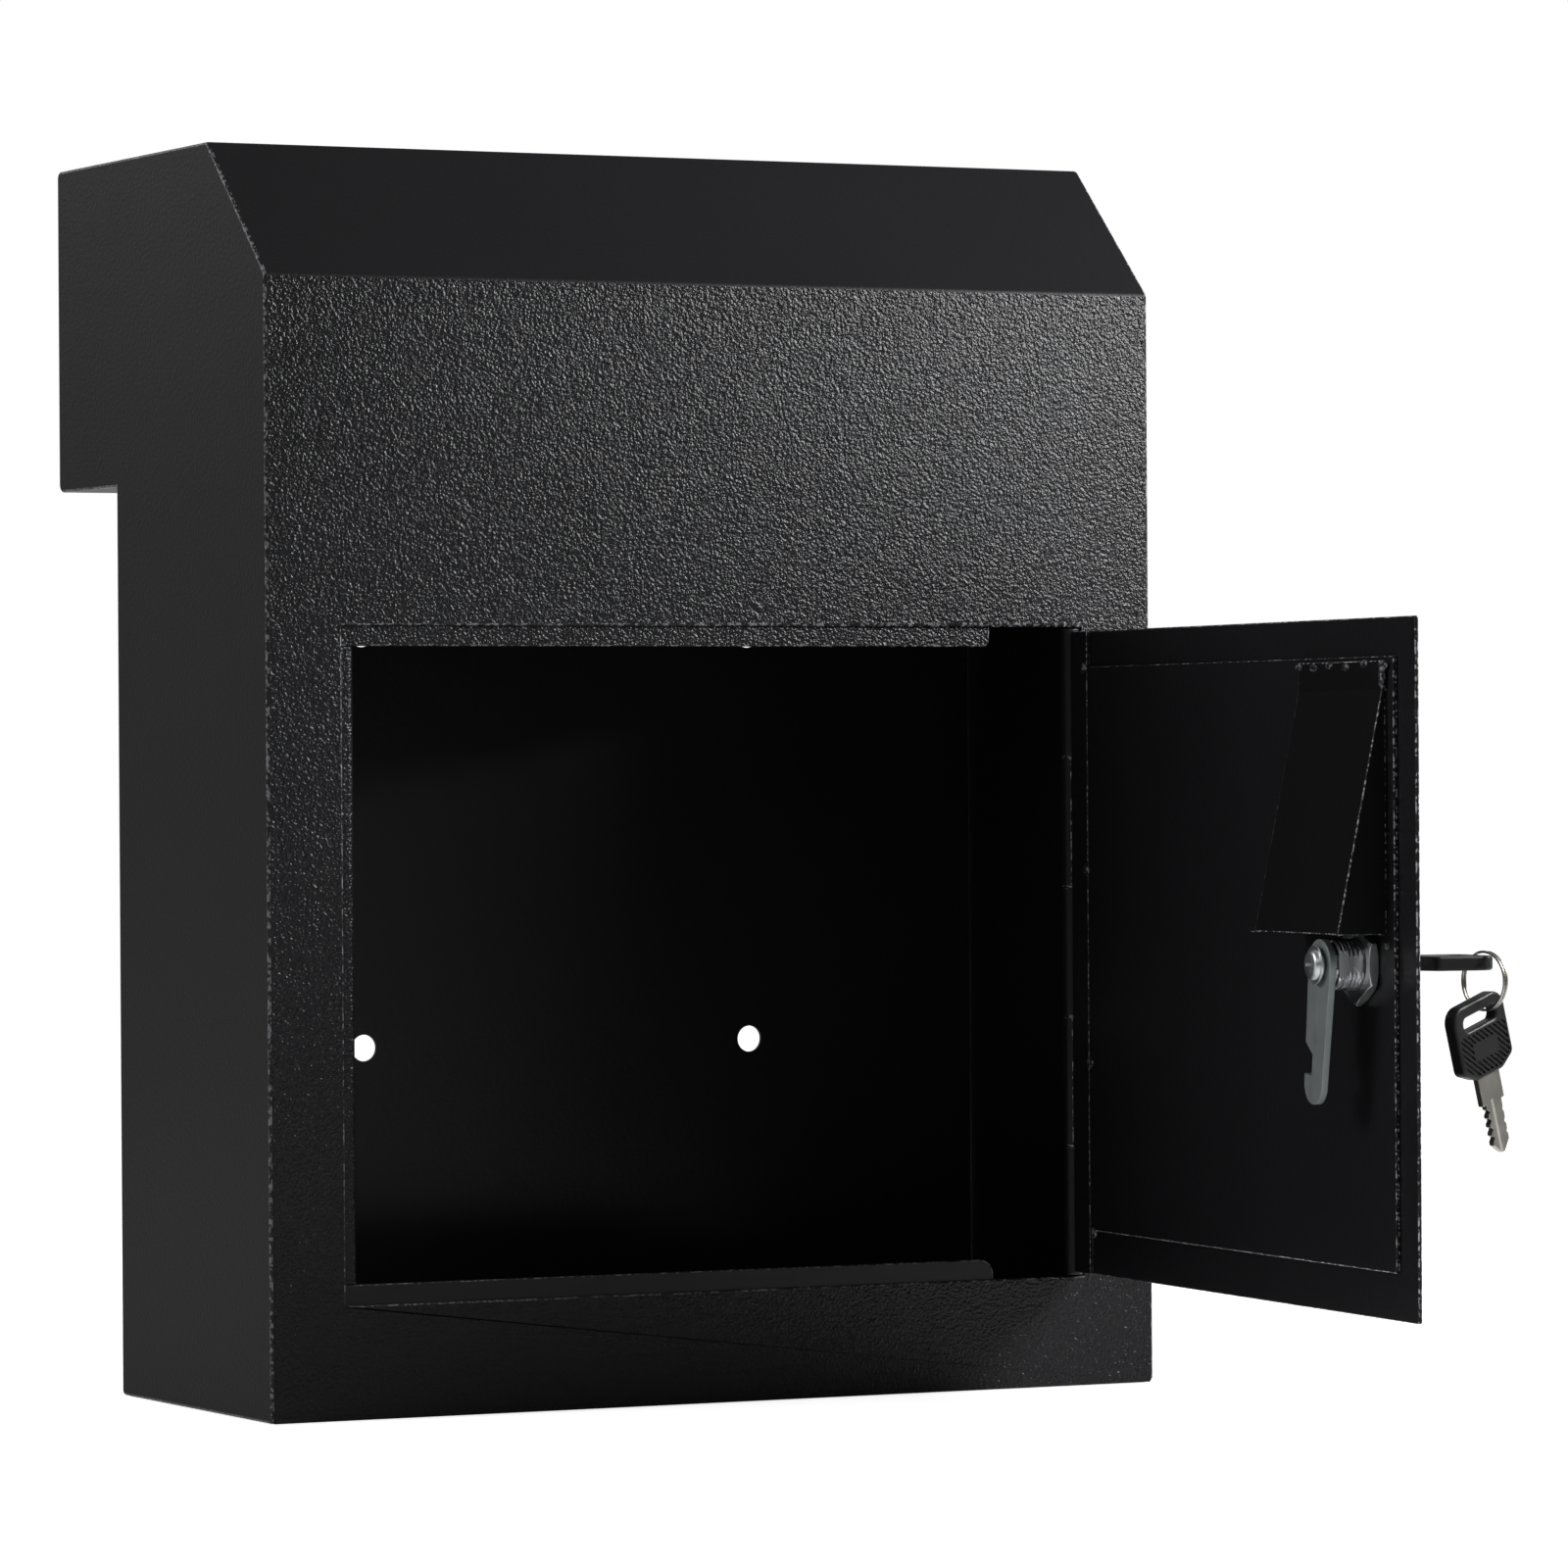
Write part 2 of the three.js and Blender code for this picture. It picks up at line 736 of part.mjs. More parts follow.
// Key blade, lying in X and Y with its shoulder at the origin and its tip at +Y
function keyBlade() {
  const neck = keyNeckWidth / 2;
  const half = keyBladeWidth / 2;
  const corners = [
    [-neck, -keyNeck - keyTang, 0],
    [neck, -keyNeck - keyTang, 0],
    [neck, 0, 0],
    [half, 0, 0],
    [half, keyBladeLength - keyTip, 0],
    [half - keyTip, keyBladeLength, 0],
    [-half + keyTip, keyBladeLength, 0],
  ];
  for (let bit = bitCount - 1; bit >= 0; bit -= 1) {
    const y = bitStart + bit * bitPitch;
    corners.push([-half, y + bitReach, 0], [-half + bitDepth, y, 0], [-half, y - bitReach, 0]);
  }
  corners.push([-half, 0, 0], [-neck, 0, 0]);
  return extrude(outline(corners), keyThickness).translate(0, 0, -keyThickness / 2);
}

// Key bow: a rounded plastic grip with a slot for the ring and a pocket for the blade's tang
function keyBow() {
  const near = -keyNeck;
  const far = near - bowLength;
  const half = bowWidth / 2;
  const bow = outline([
    [-half, far, bowCorner],
    [half, far, bowCorner],
    [half, near - bowShoulder, bowShoulderCorner],
    [half / 2, near, bowCorner],
    [-half / 2, near, bowCorner],
    [-half, near - bowShoulder, bowShoulderCorner],
  ]);
  const slotFar = far + bowBar;
  const slotHalf = bowSlotWidth / 2;
  bow.holes.push(rectangle(-slotHalf, slotFar, slotHalf, slotFar + bowSlotHeight, bowSlotCorner));
  const grip = new THREE.ExtrudeGeometry(bow, {
    depth: bowThickness - 2 * bowEdge,
    bevelThickness: bowEdge,
    bevelSize: bowEdge,
    bevelOffset: -bowEdge,
    bevelSegments: bevelSteps,
    curveSegments: arcSteps,
  });
  grip.translate(0, 0, bowEdge - bowThickness / 2);
  const tangHalf = keyNeckWidth / 2 + running;
  const tangDepth = keyThickness / 2 + running;
  const pocket = block(
    [-tangHalf, near - keyTang - running, -tangDepth],
    [tangHalf, near + overrun, tangDepth],
  );
  return cut(grip, pocket);
}

// Split ring: nearly two turns of wire side by side, with one slanted stretch where it steps across
function keyRing() {
  const from = (ringStepAt + ringStepSweep / 2) * degree;
  const sweep = 2 * fullTurn - ringStepSweep * degree;
  const stepSweep = ringStepSweep * degree;
  class RingWire extends THREE.Curve {
    getPoint(share, target = new THREE.Vector3()) {
      const angle = from + share * sweep;
      const passed = (share * sweep - (sweep - stepSweep) / 2) / stepSweep;
      const along = (THREE.MathUtils.smoothstep(passed, 0, 1) - 1 / 2) * ringPitch;
      return target.set(ringRadius * Math.sin(angle), along, -ringRadius * Math.cos(angle));
    }
  }
  const section = new THREE.Shape(circle(0, 0, wireRadius).getPoints(wireSides / 2));
  return new THREE.ExtrudeGeometry(section, { steps: wireSteps, extrudePath: new RingWire() });
}

const mailbox = new THREE.Group();
mailbox.position.z = -stepHeight / 2;

add(mailbox, 'front_hood_panel', frontHoodPanel(), powderCoat());
add(mailbox, 'left_side_panel', sidePanel(-outerHalf, -outerHalf + sheet), powderCoat());
add(mailbox, 'right_side_panel', sidePanel(outerHalf - sheet, outerHalf), powderCoat());
add(mailbox, 'bottom_panel', bottomPanel(), powderCoat());
add(mailbox, 'lower_back_panel', lowerBackPanel(), powderCoat());
add(mailbox, 'chute_rear_panel', chuteRearPanel(), powderCoat());
add(mailbox, 'chute_baffle', chuteBaffle(), powderCoat());
const stopTop = stopStrip(openingTop - stopShow, openingTop + stopHidden, stopCorner / 2, 0);
const stopBottom = stopStrip(sillHeight - stopHidden, sillHeight + stopShow, 0, stopCorner);
add(mailbox, 'door_stop_top', stopTop, powderCoat());
add(mailbox, 'door_stop_bottom', stopBottom, powderCoat());
add(mailbox, 'door_keeper', doorKeeper(), powderCoat());
add(mailbox, 'hinge_leaf_body', hingeHalf(0, openingHalf + hingeLeafReach, behindFront), powderCoat());
const hingePin = rod(hingePinRadius, sillHeight + hingeEndGap, openingTop - hingeEndGap, smallSteps);
add(mailbox, 'hinge_pin', hingePin.rotateX(rightAngle).translate(hingeX, hingeY, 0), zinc());

// The door and all that it carries, in closed place, turned open about the hinge
const swing = subgroup(mailbox, hingeX, hingeY, 0);
swing.rotation.z = doorRestAngle * degree;
const door = subgroup(swing, -hingeX, -hingeY, 0);
add(door, 'door_plate', doorPlate(), powderCoat());
add(door, 'door_inner_plate', doorInnerPlate(), powderCoat());
add(door, 'hinge_leaf_door', hingeHalf(1, hingeX - doorLeafReach, innerPlateFront), powderCoat());
add(door, 'lock_guard', lockGuard(), powderCoat());

const lock = subgroup(door, lockX, frontY, lockZ);
add(lock, 'lock_housing', lockHousing(), chrome());
add(lock, 'lock_nut', lockNut(), zinc());
add(lock, 'lock_plug', lockPlug(), chrome());
waferPlaces().forEach((y, index) => add(lock, `wafer_tumbler_${index + 1}`, waferTumbler(y), brass()));
add(lock, 'cam_stop_washer', camStopWasher(), zinc());
add(lock, 'cam_arm', camArm(), zinc());
add(lock, 'cam_lock_washer', camLockWasher(), zinc());
add(lock, 'cam_screw', camScrew(), zinc());

const key = subgroup(lock, 0, -plateGap - headThickness - running, 0);
add(key, 'key_blade', keyBlade(), nickel());
add(key, 'key_bow', keyBow(), blackPlastic());

// The ring hangs on the side rail of the first key's slot, the second key on the foot of the ring
const railX = -(bowWidth + bowSlotWidth) / 4;
const ring = subgroup(key, railX, -keyNeck - bowLength + ringAlong, 0);
ring.rotation.z = ringTurn * degree;
add(ring, 'key_ring', keyRing().translate(0, 0, -ringDrop), nickel());
const hook = subgroup(ring, 0, 0, -ringDrop - ringRadius);
hook.rotation.z = (spareTurn - ringTurn) * degree;
const hang = subgroup(hook, 0, 0, 0);
hang.rotation.set(-rightAngle, 0, 0);
const tilt = subgroup(hang, 0, 0, 0);
tilt.rotation.z = spareTilt * degree;
const spare = subgroup(tilt, -spareAlongSlot, keyNeck + bowLength - bowBar - spareSeat, 0);
add(spare, 'spare_key_blade', keyBlade(), nickel());
add(spare, 'spare_key_bow', keyBow(), blackPlastic());

export default mailbox;
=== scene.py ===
# %% [markdown]
# # A wall mounted mailbox, dressed for its portrait
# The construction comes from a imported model: every sheet, hinge and lock part is already there at its
# real size, in metres. This lesson loads that frame, gives each piece the rounded, thickly coated
# edges and the small parts that a close look shows, and then lights it like a studio photograph.

# %% Load the frame
import json
import math

import bmesh
import bpy
from mathutils import Matrix, Vector

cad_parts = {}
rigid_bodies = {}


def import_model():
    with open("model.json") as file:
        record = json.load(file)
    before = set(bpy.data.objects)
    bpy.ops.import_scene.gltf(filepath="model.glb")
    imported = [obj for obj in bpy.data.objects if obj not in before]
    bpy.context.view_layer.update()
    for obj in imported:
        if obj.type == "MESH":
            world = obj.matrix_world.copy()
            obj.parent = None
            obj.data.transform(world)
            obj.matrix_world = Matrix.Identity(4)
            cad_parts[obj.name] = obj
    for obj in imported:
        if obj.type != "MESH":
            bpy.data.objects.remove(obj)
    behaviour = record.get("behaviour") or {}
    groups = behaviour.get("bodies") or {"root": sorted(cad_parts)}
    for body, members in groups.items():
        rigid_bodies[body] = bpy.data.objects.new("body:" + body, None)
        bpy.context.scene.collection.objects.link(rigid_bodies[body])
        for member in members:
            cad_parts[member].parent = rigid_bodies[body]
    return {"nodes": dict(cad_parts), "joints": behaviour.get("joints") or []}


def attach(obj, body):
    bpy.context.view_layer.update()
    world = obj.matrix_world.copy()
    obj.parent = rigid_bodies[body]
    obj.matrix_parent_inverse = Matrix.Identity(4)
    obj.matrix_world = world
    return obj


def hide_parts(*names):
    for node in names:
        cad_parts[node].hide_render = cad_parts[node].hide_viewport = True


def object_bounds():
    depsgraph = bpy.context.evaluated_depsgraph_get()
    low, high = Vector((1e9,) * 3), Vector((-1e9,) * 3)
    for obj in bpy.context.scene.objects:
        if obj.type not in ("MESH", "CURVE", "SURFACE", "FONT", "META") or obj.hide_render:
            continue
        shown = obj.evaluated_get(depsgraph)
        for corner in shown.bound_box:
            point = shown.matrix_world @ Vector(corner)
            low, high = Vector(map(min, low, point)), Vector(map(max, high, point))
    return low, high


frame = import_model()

cad_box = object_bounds()
print("nodes in the frame:", len(frame["nodes"]))

# %% [markdown]
# ## The camera
# The camera stands in front of the box and to its left, a little above its middle, with a long lens,
# so that upright edges stay nearly upright. Its place comes from fitting the straight edges of the
# real box. Depth of field stays off.

# %% Camera
camera_data = bpy.data.cameras.new("portrait_camera")
camera_data.sensor_width = 36
camera_data.lens = 171.37
camera_data.clip_start = 0.05
camera_data.clip_end = 100
camera = bpy.data.objects.new("portrait_camera", camera_data)
camera.location = (-1.06698, -2.31784, 0.05758)
camera.rotation_euler = [math.radians(angle) for angle in (89.8438, 0.3628, -26.4684)]
bpy.context.collection.objects.link(camera)
bpy.context.scene.camera = camera
print("camera lens:", camera_data.lens, "mm")

# %% [markdown]
# ## Helpers for working by hand
# An operator acts on everything that is selected, and the frame arrives selected, so each step starts
# by clearing the selection. Faces and edges are then picked in code by where they are and where they
# face, just as they would be clicked on the screen.


# %% Selecting
MM = 0.001


def activate(piece):
    bpy.ops.object.select_all(action="DESELECT")
    piece.select_set(True)
    bpy.context.view_layer.objects.active = piece


def open_mesh(piece, mode="FACE"):
    activate(piece)
    bpy.ops.object.mode_set(mode="EDIT")
    bpy.ops.mesh.select_mode(type=mode)


def close_mesh():
    bpy.ops.object.mode_set(mode="OBJECT")


def pick_faces(piece, wanted):
    """In edit mode, selects only the faces whose centre and normal are wanted."""
    bpy.ops.mesh.select_all(action="DESELECT")
    form = bmesh.from_edit_mesh(piece.data)
    for face in form.faces:
        face.select_set(bool(wanted(face.calc_center_median(), face.normal)))
    bmesh.update_edit_mesh(piece.data)


def apply_modifier(piece, kind, **settings):
    """Adds a modifier, sets what is given for it and applies it."""
    activate(piece)
    modifier = piece.modifiers.new(kind.lower(), kind)
    for name, value in settings.items():
        setattr(modifier, name, value)
    bpy.ops.object.modifier_apply(modifier=modifier.name)


def join_pieces(first, *others):
    activate(first)
    for other in others:
        other.select_set(True)
    bpy.ops.object.join()
    return first


def copy_piece(piece, name):
    """A second piece with a mesh of its own."""
    activate(piece)
    bpy.ops.object.duplicate()
    twin = bpy.context.active_object
    twin.name = name
    return twin


# %% [markdown]
# ## Drawing, turning, slicing and carving
# Lock parts are turned on a lathe and key parts are stamped. So one point is extruded along an outline,
# and Spin turns it or Extrude gives it thickness. Bisect slices the flats of a hex nut, and a Boolean
# carves slots and grooves. All places are given in millimetres.


# %% Outlines
MERGE = 0.01 * MM


def draw_outline(name, places):
    """Extrudes a single point along (x, y) places and leaves a chain of edges."""
    bpy.ops.object.select_all(action="DESELECT")
    bpy.ops.mesh.primitive_plane_add(size=MM)
    piece = bpy.context.active_object
    piece.name = name
    open_mesh(piece, "VERT")
    bpy.ops.mesh.select_all(action="SELECT")
    bpy.ops.mesh.merge(type="CENTER")
    bpy.ops.transform.translate(value=Vector((*places[0], 0)) * MM)
    for start, end in zip(places, places[1:]):
        step = Vector((end[0] - start[0], end[1] - start[1], 0)) * MM
        bpy.ops.mesh.extrude_region_move(TRANSFORM_OT_translate={"value": step})
    bpy.ops.mesh.select_all(action="SELECT")
    bpy.ops.mesh.remove_doubles(threshold=MERGE)
    close_mesh()
    return piece


def face_outwards(piece):
    """Closes the seam of a new solid and turns all its faces outwards."""
    open_mesh(piece)
    bpy.ops.mesh.select_all(action="SELECT")
    bpy.ops.mesh.remove_doubles(threshold=MERGE)
    bpy.ops.mesh.normals_make_consistent(inside=False)
    close_mesh()
    return piece


# %% Turned and stamped solids
def turned(name, places, steps=72):
    """Spins a profile of (radius, y) places about the Y axis."""
    piece = draw_outline(name, places)
    open_mesh(piece, "VERT")
    bpy.ops.mesh.select_all(action="SELECT")
    bpy.ops.mesh.spin(steps=steps, angle=math.tau, center=(0, 0, 0), axis=(0, 1, 0))
    close_mesh()
    return face_outwards(piece)


def stamped(name, places, low, high):
    """Fills a closed outline in X and Y, and extrudes it from low to high in Z."""
    piece = draw_outline(name, places + places[:1])
    open_mesh(piece, "VERT")
    bpy.ops.mesh.select_all(action="SELECT")
    bpy.ops.mesh.edge_face_add()
    bpy.ops.transform.translate(value=(0, 0, low * MM))
    thickness = (0, 0, (high - low) * MM)
    bpy.ops.mesh.extrude_region_move(TRANSFORM_OT_translate={"value": thickness})
    close_mesh()
    return face_outwards(piece)


def block(name, low, high):
    """A cube stretched between two corners."""
    low, high = Vector(low) * MM, Vector(high) * MM
    bpy.ops.object.select_all(action="DESELECT")
    bpy.ops.mesh.primitive_cube_add(size=1, location=(low + high) / 2)
    piece = bpy.context.active_object
    piece.name = name
    piece.scale = high - low
    bpy.ops.object.transform_apply(location=True, rotation=True, scale=True)
    return piece


# %% Cutting tools
def turn_mesh(piece, degrees, axis, centre=(0, 0, 0)):
    open_mesh(piece)
    bpy.ops.mesh.select_all(action="SELECT")
    bpy.ops.transform.rotate(value=math.radians(degrees), orient_axis=axis, center_override=centre)
    close_mesh()
    return piece


def shift_mesh(piece, step):
    open_mesh(piece)
    bpy.ops.mesh.select_all(action="SELECT")
    bpy.ops.transform.translate(value=Vector(step) * MM)
    close_mesh()
    return piece


def slice_off(piece, point, direction):
    """Cuts away what lies beyond a plane and closes the cut."""
    open_mesh(piece)
    bpy.ops.mesh.select_all(action="SELECT")
    bpy.ops.mesh.bisect(plane_co=Vector(point) * MM, plane_no=direction,
                        use_fill=True, clear_outer=True)
    close_mesh()
    return piece


def carve(piece, cutter, operation="DIFFERENCE"):
    """Cuts a piece with another one, or joins the two, and uses the other one up."""
    apply_modifier(piece, "BOOLEAN", operation=operation, object=cutter, solver="EXACT")
    bpy.data.objects.remove(cutter)
    return piece


def soften(piece, radius, segments=3, sharper_than=30):
    """Rounds the sharp edges of a whole piece."""
    apply_modifier(piece, "BEVEL", width=radius * MM, segments=segments, limit_method="ANGLE",
                   angle_limit=math.radians(sharper_than), miter_outer="MITER_ARC")
    return piece


# %% [markdown]
# ## Where the lock and the door are
# The door stands open, and the lock sits on it at a slant to the world. It is easier to model lock
# parts standing straight: Y runs into the box along the lock's axis, X across and Z up. The finished
# mesh is then moved to its place by one matrix, which is read from the joints of the frame. Only the
# second key, which dangles from the ring, has its matrix written out.


# %% Local frames
joints = {joint["name"]: joint for joint in frame["joints"]}


def upright_frame(origin, inward):
    """The matrix that stands a part at an origin with its Y axis inward and its Z axis up."""
    inward = Vector(inward).normalized()
    up = Vector((0, 0, 1))
    across = inward.cross(up)
    basis = Matrix((across, inward, up)).transposed().to_4x4()
    return Matrix.Translation(Vector(origin)) @ basis


lock_frame = upright_frame(joints["lock_turn"]["pos_m"], joints["lock_turn"]["axis"])
key_standing_out = 3.8 * MM
key_frame = lock_frame @ Matrix.Translation((0, -key_standing_out, 0))
spare_frame = Matrix((
    (0.901453, 0.275602, -0.333807, 0.14514),
    (0.319221, 0.097596, 0.942641, -0.367973),
    (0.292372, -0.956305, 0, -0.04727),
    (0, 0, 0, 1),
))
hinge_place = Vector(joints["door_swing"]["pos_m"])
door_open = math.radians(-joints["door_swing"]["range_deg"][0])
door_frame = (
    Matrix.Translation(hinge_place)
    @ Matrix.Rotation(door_open, 4, "Z")
    @ Matrix.Translation(-hinge_place)
)
print("lock at", [round(value, 4) for value in lock_frame.translation])


def put_in_place(piece, place):
    """Moves the mesh of a piece that was modelled at the origin, and leaves its object there."""
    activate(piece)
    piece.matrix_world = place @ piece.matrix_world
    bpy.ops.object.transform_apply(location=True, rotation=True, scale=True)
    return piece


# %% [markdown]
# ## Node materials
# A finish is built from a few noises in Object coordinates, in metres, so its grain has its real size
# on every piece. This helper makes the Principled shader and gives back the nodes to build on.


# %% Material helper
def new_finish(name):
    """A new material with its tree, its shader and the Object coordinates."""
    material = bpy.data.materials.new(name)
    material.use_nodes = True
    tree = material.node_tree
    shader = tree.nodes["Principled BSDF"]
    place = tree.nodes.new("ShaderNodeTexCoord")
    return material, tree, shader, place.outputs["Object"]


def noise(tree, place, scale, detail=2.0, roughness=0.5, stretch=None):
    """A noise with so many bumps a metre, which may be stretched along an axis."""
    node = tree.nodes.new("ShaderNodeTexNoise")
    node.inputs["Scale"].default_value = scale
    node.inputs["Detail"].default_value = detail
    node.inputs["Roughness"].default_value = roughness
    if stretch is None:
        tree.links.new(place, node.inputs["Vector"])
        return node.outputs["Fac"]
    mapping = tree.nodes.new("ShaderNodeMapping")
    mapping.inputs["Scale"].default_value = stretch
    tree.links.new(place, mapping.inputs["Vector"])
    tree.links.new(mapping.outputs["Vector"], node.inputs["Vector"])
    return node.outputs["Fac"]


def pebbles(tree, place, scale):
    """Rounded cells that lie close together like pebbles."""
    node = tree.nodes.new("ShaderNodeTexVoronoi")
    node.feature = "SMOOTH_F1"
    node.inputs["Scale"].default_value = scale
    node.inputs["Smoothness"].default_value = 0.6
    tree.links.new(place, node.inputs["Vector"])
    return node.outputs["Distance"]


def spread(tree, value, low, high, start=0.0, end=1.0):
    """Maps a noise from start..end onto low..high."""
    node = tree.nodes.new("ShaderNodeMapRange")
    node.inputs["From Min"].default_value = start
    node.inputs["From Max"].default_value = end
    node.inputs["To Min"].default_value = low
    node.inputs["To Max"].default_value = high
    tree.links.new(value, node.inputs["Value"])
    return node.outputs["Result"]


def combine(tree, operation, first, second):
    """Joins two values, each a socket or a plain number."""
    node = tree.nodes.new("ShaderNodeMath")
    node.operation = operation
    for socket, value in zip(node.inputs, (first, second)):
        if isinstance(value, float):
            socket.default_value = value
        else:
            tree.links.new(value, socket)
    return node.outputs["Value"]


def tint(tree, value, dark, light):
    node = tree.nodes.new("ShaderNodeValToRGB")
    node.color_ramp.elements[0].color = (*dark, 1)
    node.color_ramp.elements[1].color = (*light, 1)
    tree.links.new(value, node.inputs["Fac"])
    return node.outputs["Color"]


def drifting(tree, cloud, shade, amount):
    """A colour that drifts between a little darker and a little lighter."""
    return tint(tree, cloud, [part * (1 - amount) for part in shade],
                [part * (1 + amount) for part in shade])


def emboss(tree, shader, height, distance):
    node = tree.nodes.new("ShaderNodeBump")
    node.inputs["Distance"].default_value = distance
    node.inputs["Strength"].default_value = 1.0
    tree.links.new(height, node.inputs["Height"])
    tree.links.new(node.outputs["Normal"], shader.inputs["Normal"])


# %% [markdown]
# ## Black powder coat
# The box is sprayed with a black powder that melts into a hard skin. It wrinkles into a leather-like
# grain of one to two millimetres, deep on the front and faint elsewhere. An image could give this
# grain, but nodes keep it sharp at any size: smooth pebbles broken up by two noises make the wrinkles,
# and a slow noise lets the colour drift. The level top is dull, so that it doesn't mirror a lamp as a
# white sheet. The guard over the lock gets a darker black, which is painted shade. The coats for edges
# mix pale dots into their colour: painted glints that stand for the light caught where the skin runs
# round an edge.


# %% Powder coat
fine_grain, glint_grain, colour_drift = 1500, 780, 14
pebble_share, fine_share = -0.35, 0.12


def powder_coat(name, grain_depth, gloss, shade, shine, grain, painted_glints=None):
    """A coat with a grain of so many bumps a metre, and pale dots of painted glints where these are
    given.
    """
    material, tree, shader, place = new_finish(name)
    wrinkles = noise(tree, place, grain, detail=2.5, roughness=0.45)
    beads = pebbles(tree, place, grain * 1.3)
    fine = noise(tree, place, fine_grain, detail=1.0)
    height = combine(tree, "ADD", wrinkles, combine(tree, "MULTIPLY", beads, pebble_share))
    height = combine(tree, "ADD", height, combine(tree, "MULTIPLY", fine, fine_share))
    emboss(tree, shader, height, grain_depth)
    # Where given, pale dots of painted glints are mixed into the colour; otherwise the colour only
    # drifts.
    if painted_glints:
        glint_dots = noise(tree, place, glint_grain, detail=1.0)
        glint_dots = spread(tree, glint_dots, 0.0, 1.0, start=0.5, end=0.62)
        colour = tint(tree, glint_dots, shade, painted_glints)
    else:
        colour = drifting(tree, noise(tree, place, colour_drift, detail=3.0), shade, 0.15)
    tree.links.new(colour, shader.inputs["Base Color"])
    tree.links.new(spread(tree, fine, gloss - 0.05, gloss + 0.07), shader.inputs["Roughness"])
    shader.inputs["Specular IOR Level"].default_value = shine
    return material


# %% The coats of this box
# The second black, for the guard, is painted shade: a darker copy of the coat's own black.
coat_black, guard_painted_shade = (0.0075, 0.0075, 0.0085), (0.005, 0.005, 0.0055)
# These pale colours are painted glints, mixed into the edge coats as bright dots.
box_edge_glint_colour, door_edge_glint_colour = (0.13, 0.13, 0.14), (0.32, 0.32, 0.335)
coat_front = powder_coat("powder coat, deep grain", 0.42 * MM, 0.22, coat_black, 0.2, 950)
coat_hood = powder_coat("powder coat, hood", 0.1 * MM, 0.42, coat_black, 0.12, 700)
coat_top = powder_coat("powder coat, dull top", 0.1 * MM, 0.8, coat_black, 0.02, 700)
coat_side = powder_coat("powder coat, faint grain", 0.1 * MM, 0.45, coat_black, 0.1, 700)
coat_door = powder_coat("powder coat, door and inside", 0.05 * MM, 0.32, coat_black, 0.2, 600)
# The guard's coat uses the darker black, which is painted shade.
coat_guard_shaded = powder_coat("powder coat, guard, painted shade", 0.05 * MM, 0.42, guard_painted_shade, 0.06, 600)
# The two coats for edges mix painted glints into their colour.
coat_edge_glints = powder_coat("powder coat, edges, painted glints", 0.4 * MM, 0.3, coat_black, 0.3, 520, box_edge_glint_colour)
coat_door_edge_glints = powder_coat("powder coat, door edges, painted glints", 0.4 * MM, 0.3, coat_black, 0.3, 520, door_edge_glint_colour)
coats = (coat_front, coat_hood, coat_top, coat_side, coat_door, coat_guard_shaded, coat_edge_glints, coat_door_edge_glints)
print("coats:", [coat.name for coat in coats])

# %% [markdown]
# ## Plated metals
# The nut, the screw and the washers are bright zinc, slightly cloudy, and the cam is a duller one. The
# lock barrel is chromed, the keys and their ring are nickel plated, and the wafers inside are plain
# brass. One recipe makes them all: a cloudy noise for the colour, and a noise stretched along the part
# for brushing, which shows in the gloss more than in the bump.


# %% Metals
def plated(name, dark, light, gloss, brushing, brush_depth):
    material, tree, shader, place = new_finish(name)
    cloud = noise(tree, place, 160, detail=4.0, roughness=0.6)
    streaks = noise(tree, place, 900, detail=3.0, stretch=brushing)
    tree.links.new(tint(tree, cloud, dark, light), shader.inputs["Base Color"])
    brushed, clouded = combine(tree, "MULTIPLY", streaks, 0.6), combine(tree, "MULTIPLY", cloud, 0.4)
    worn = combine(tree, "ADD", brushed, clouded)
    tree.links.new(spread(tree, worn, gloss - 0.08, gloss + 0.1), shader.inputs["Roughness"])
    emboss(tree, shader, streaks, brush_depth)
    shader.inputs["Metallic"].default_value = 1
    return material


zinc = plated("bright zinc", (0.46, 0.49, 0.50), (0.66, 0.68, 0.68), 0.32, (1, 1, 0.06), 0.02 * MM)
dull_zinc = plated("dull zinc", (0.25, 0.28, 0.285), (0.33, 0.36, 0.36), 0.52, (1, 1, 0.06), 0.02 * MM)
chrome = plated("chrome", (0.68, 0.69, 0.71), (0.80, 0.81, 0.82), 0.3, (1, 1, 1), 0.006 * MM)
nickel = plated("nickel plate", (0.28, 0.265, 0.24), (0.44, 0.42, 0.385), 0.3, (1, 1, 0.1), 0.03 * MM)
brass = plated("brass", (0.55, 0.40, 0.16), (0.72, 0.55, 0.26), 0.32, (1, 1, 1), 0.02 * MM)
print("metals:", [metal.name for metal in (zinc, dull_zinc, chrome, nickel, brass)])


# %% [markdown]
# ## Black plastic
# The grips of the keys are moulded in black plastic with a satin skin. Its grain is too fine to see as
# bumps, so a very fine noise goes mostly into the gloss.


# %% Moulded plastic
def moulded_plastic(name, shade):
    material, tree, shader, place = new_finish(name)
    skin = noise(tree, place, 2600, detail=2.0)
    drift = noise(tree, place, 120, detail=2.0)
    tree.links.new(drifting(tree, drift, shade, 0.2), shader.inputs["Base Color"])
    tree.links.new(spread(tree, skin, 0.36, 0.5), shader.inputs["Roughness"])
    emboss(tree, shader, skin, 0.02 * MM)
    shader.inputs["Specular IOR Level"].default_value = 0.2
    return material


plastic = moulded_plastic("black moulded plastic", (0.006, 0.006, 0.0065))
print("plastic:", plastic.name)

# %% [markdown]
# ## Sheet metal with coated edges
# Powder gathers on edges, so every sheet edge is rounded. Each
# sheet is copied from the frame, its triangles are merged into flat faces, and a bevel rounds the
# edges and paints the rounding with the coat for edges, whose pale dots are painted glints. Weighted
# normals keep the large faces flat beside the small round ones.


# %% Rounded copies
FLAT = math.radians(0.6)


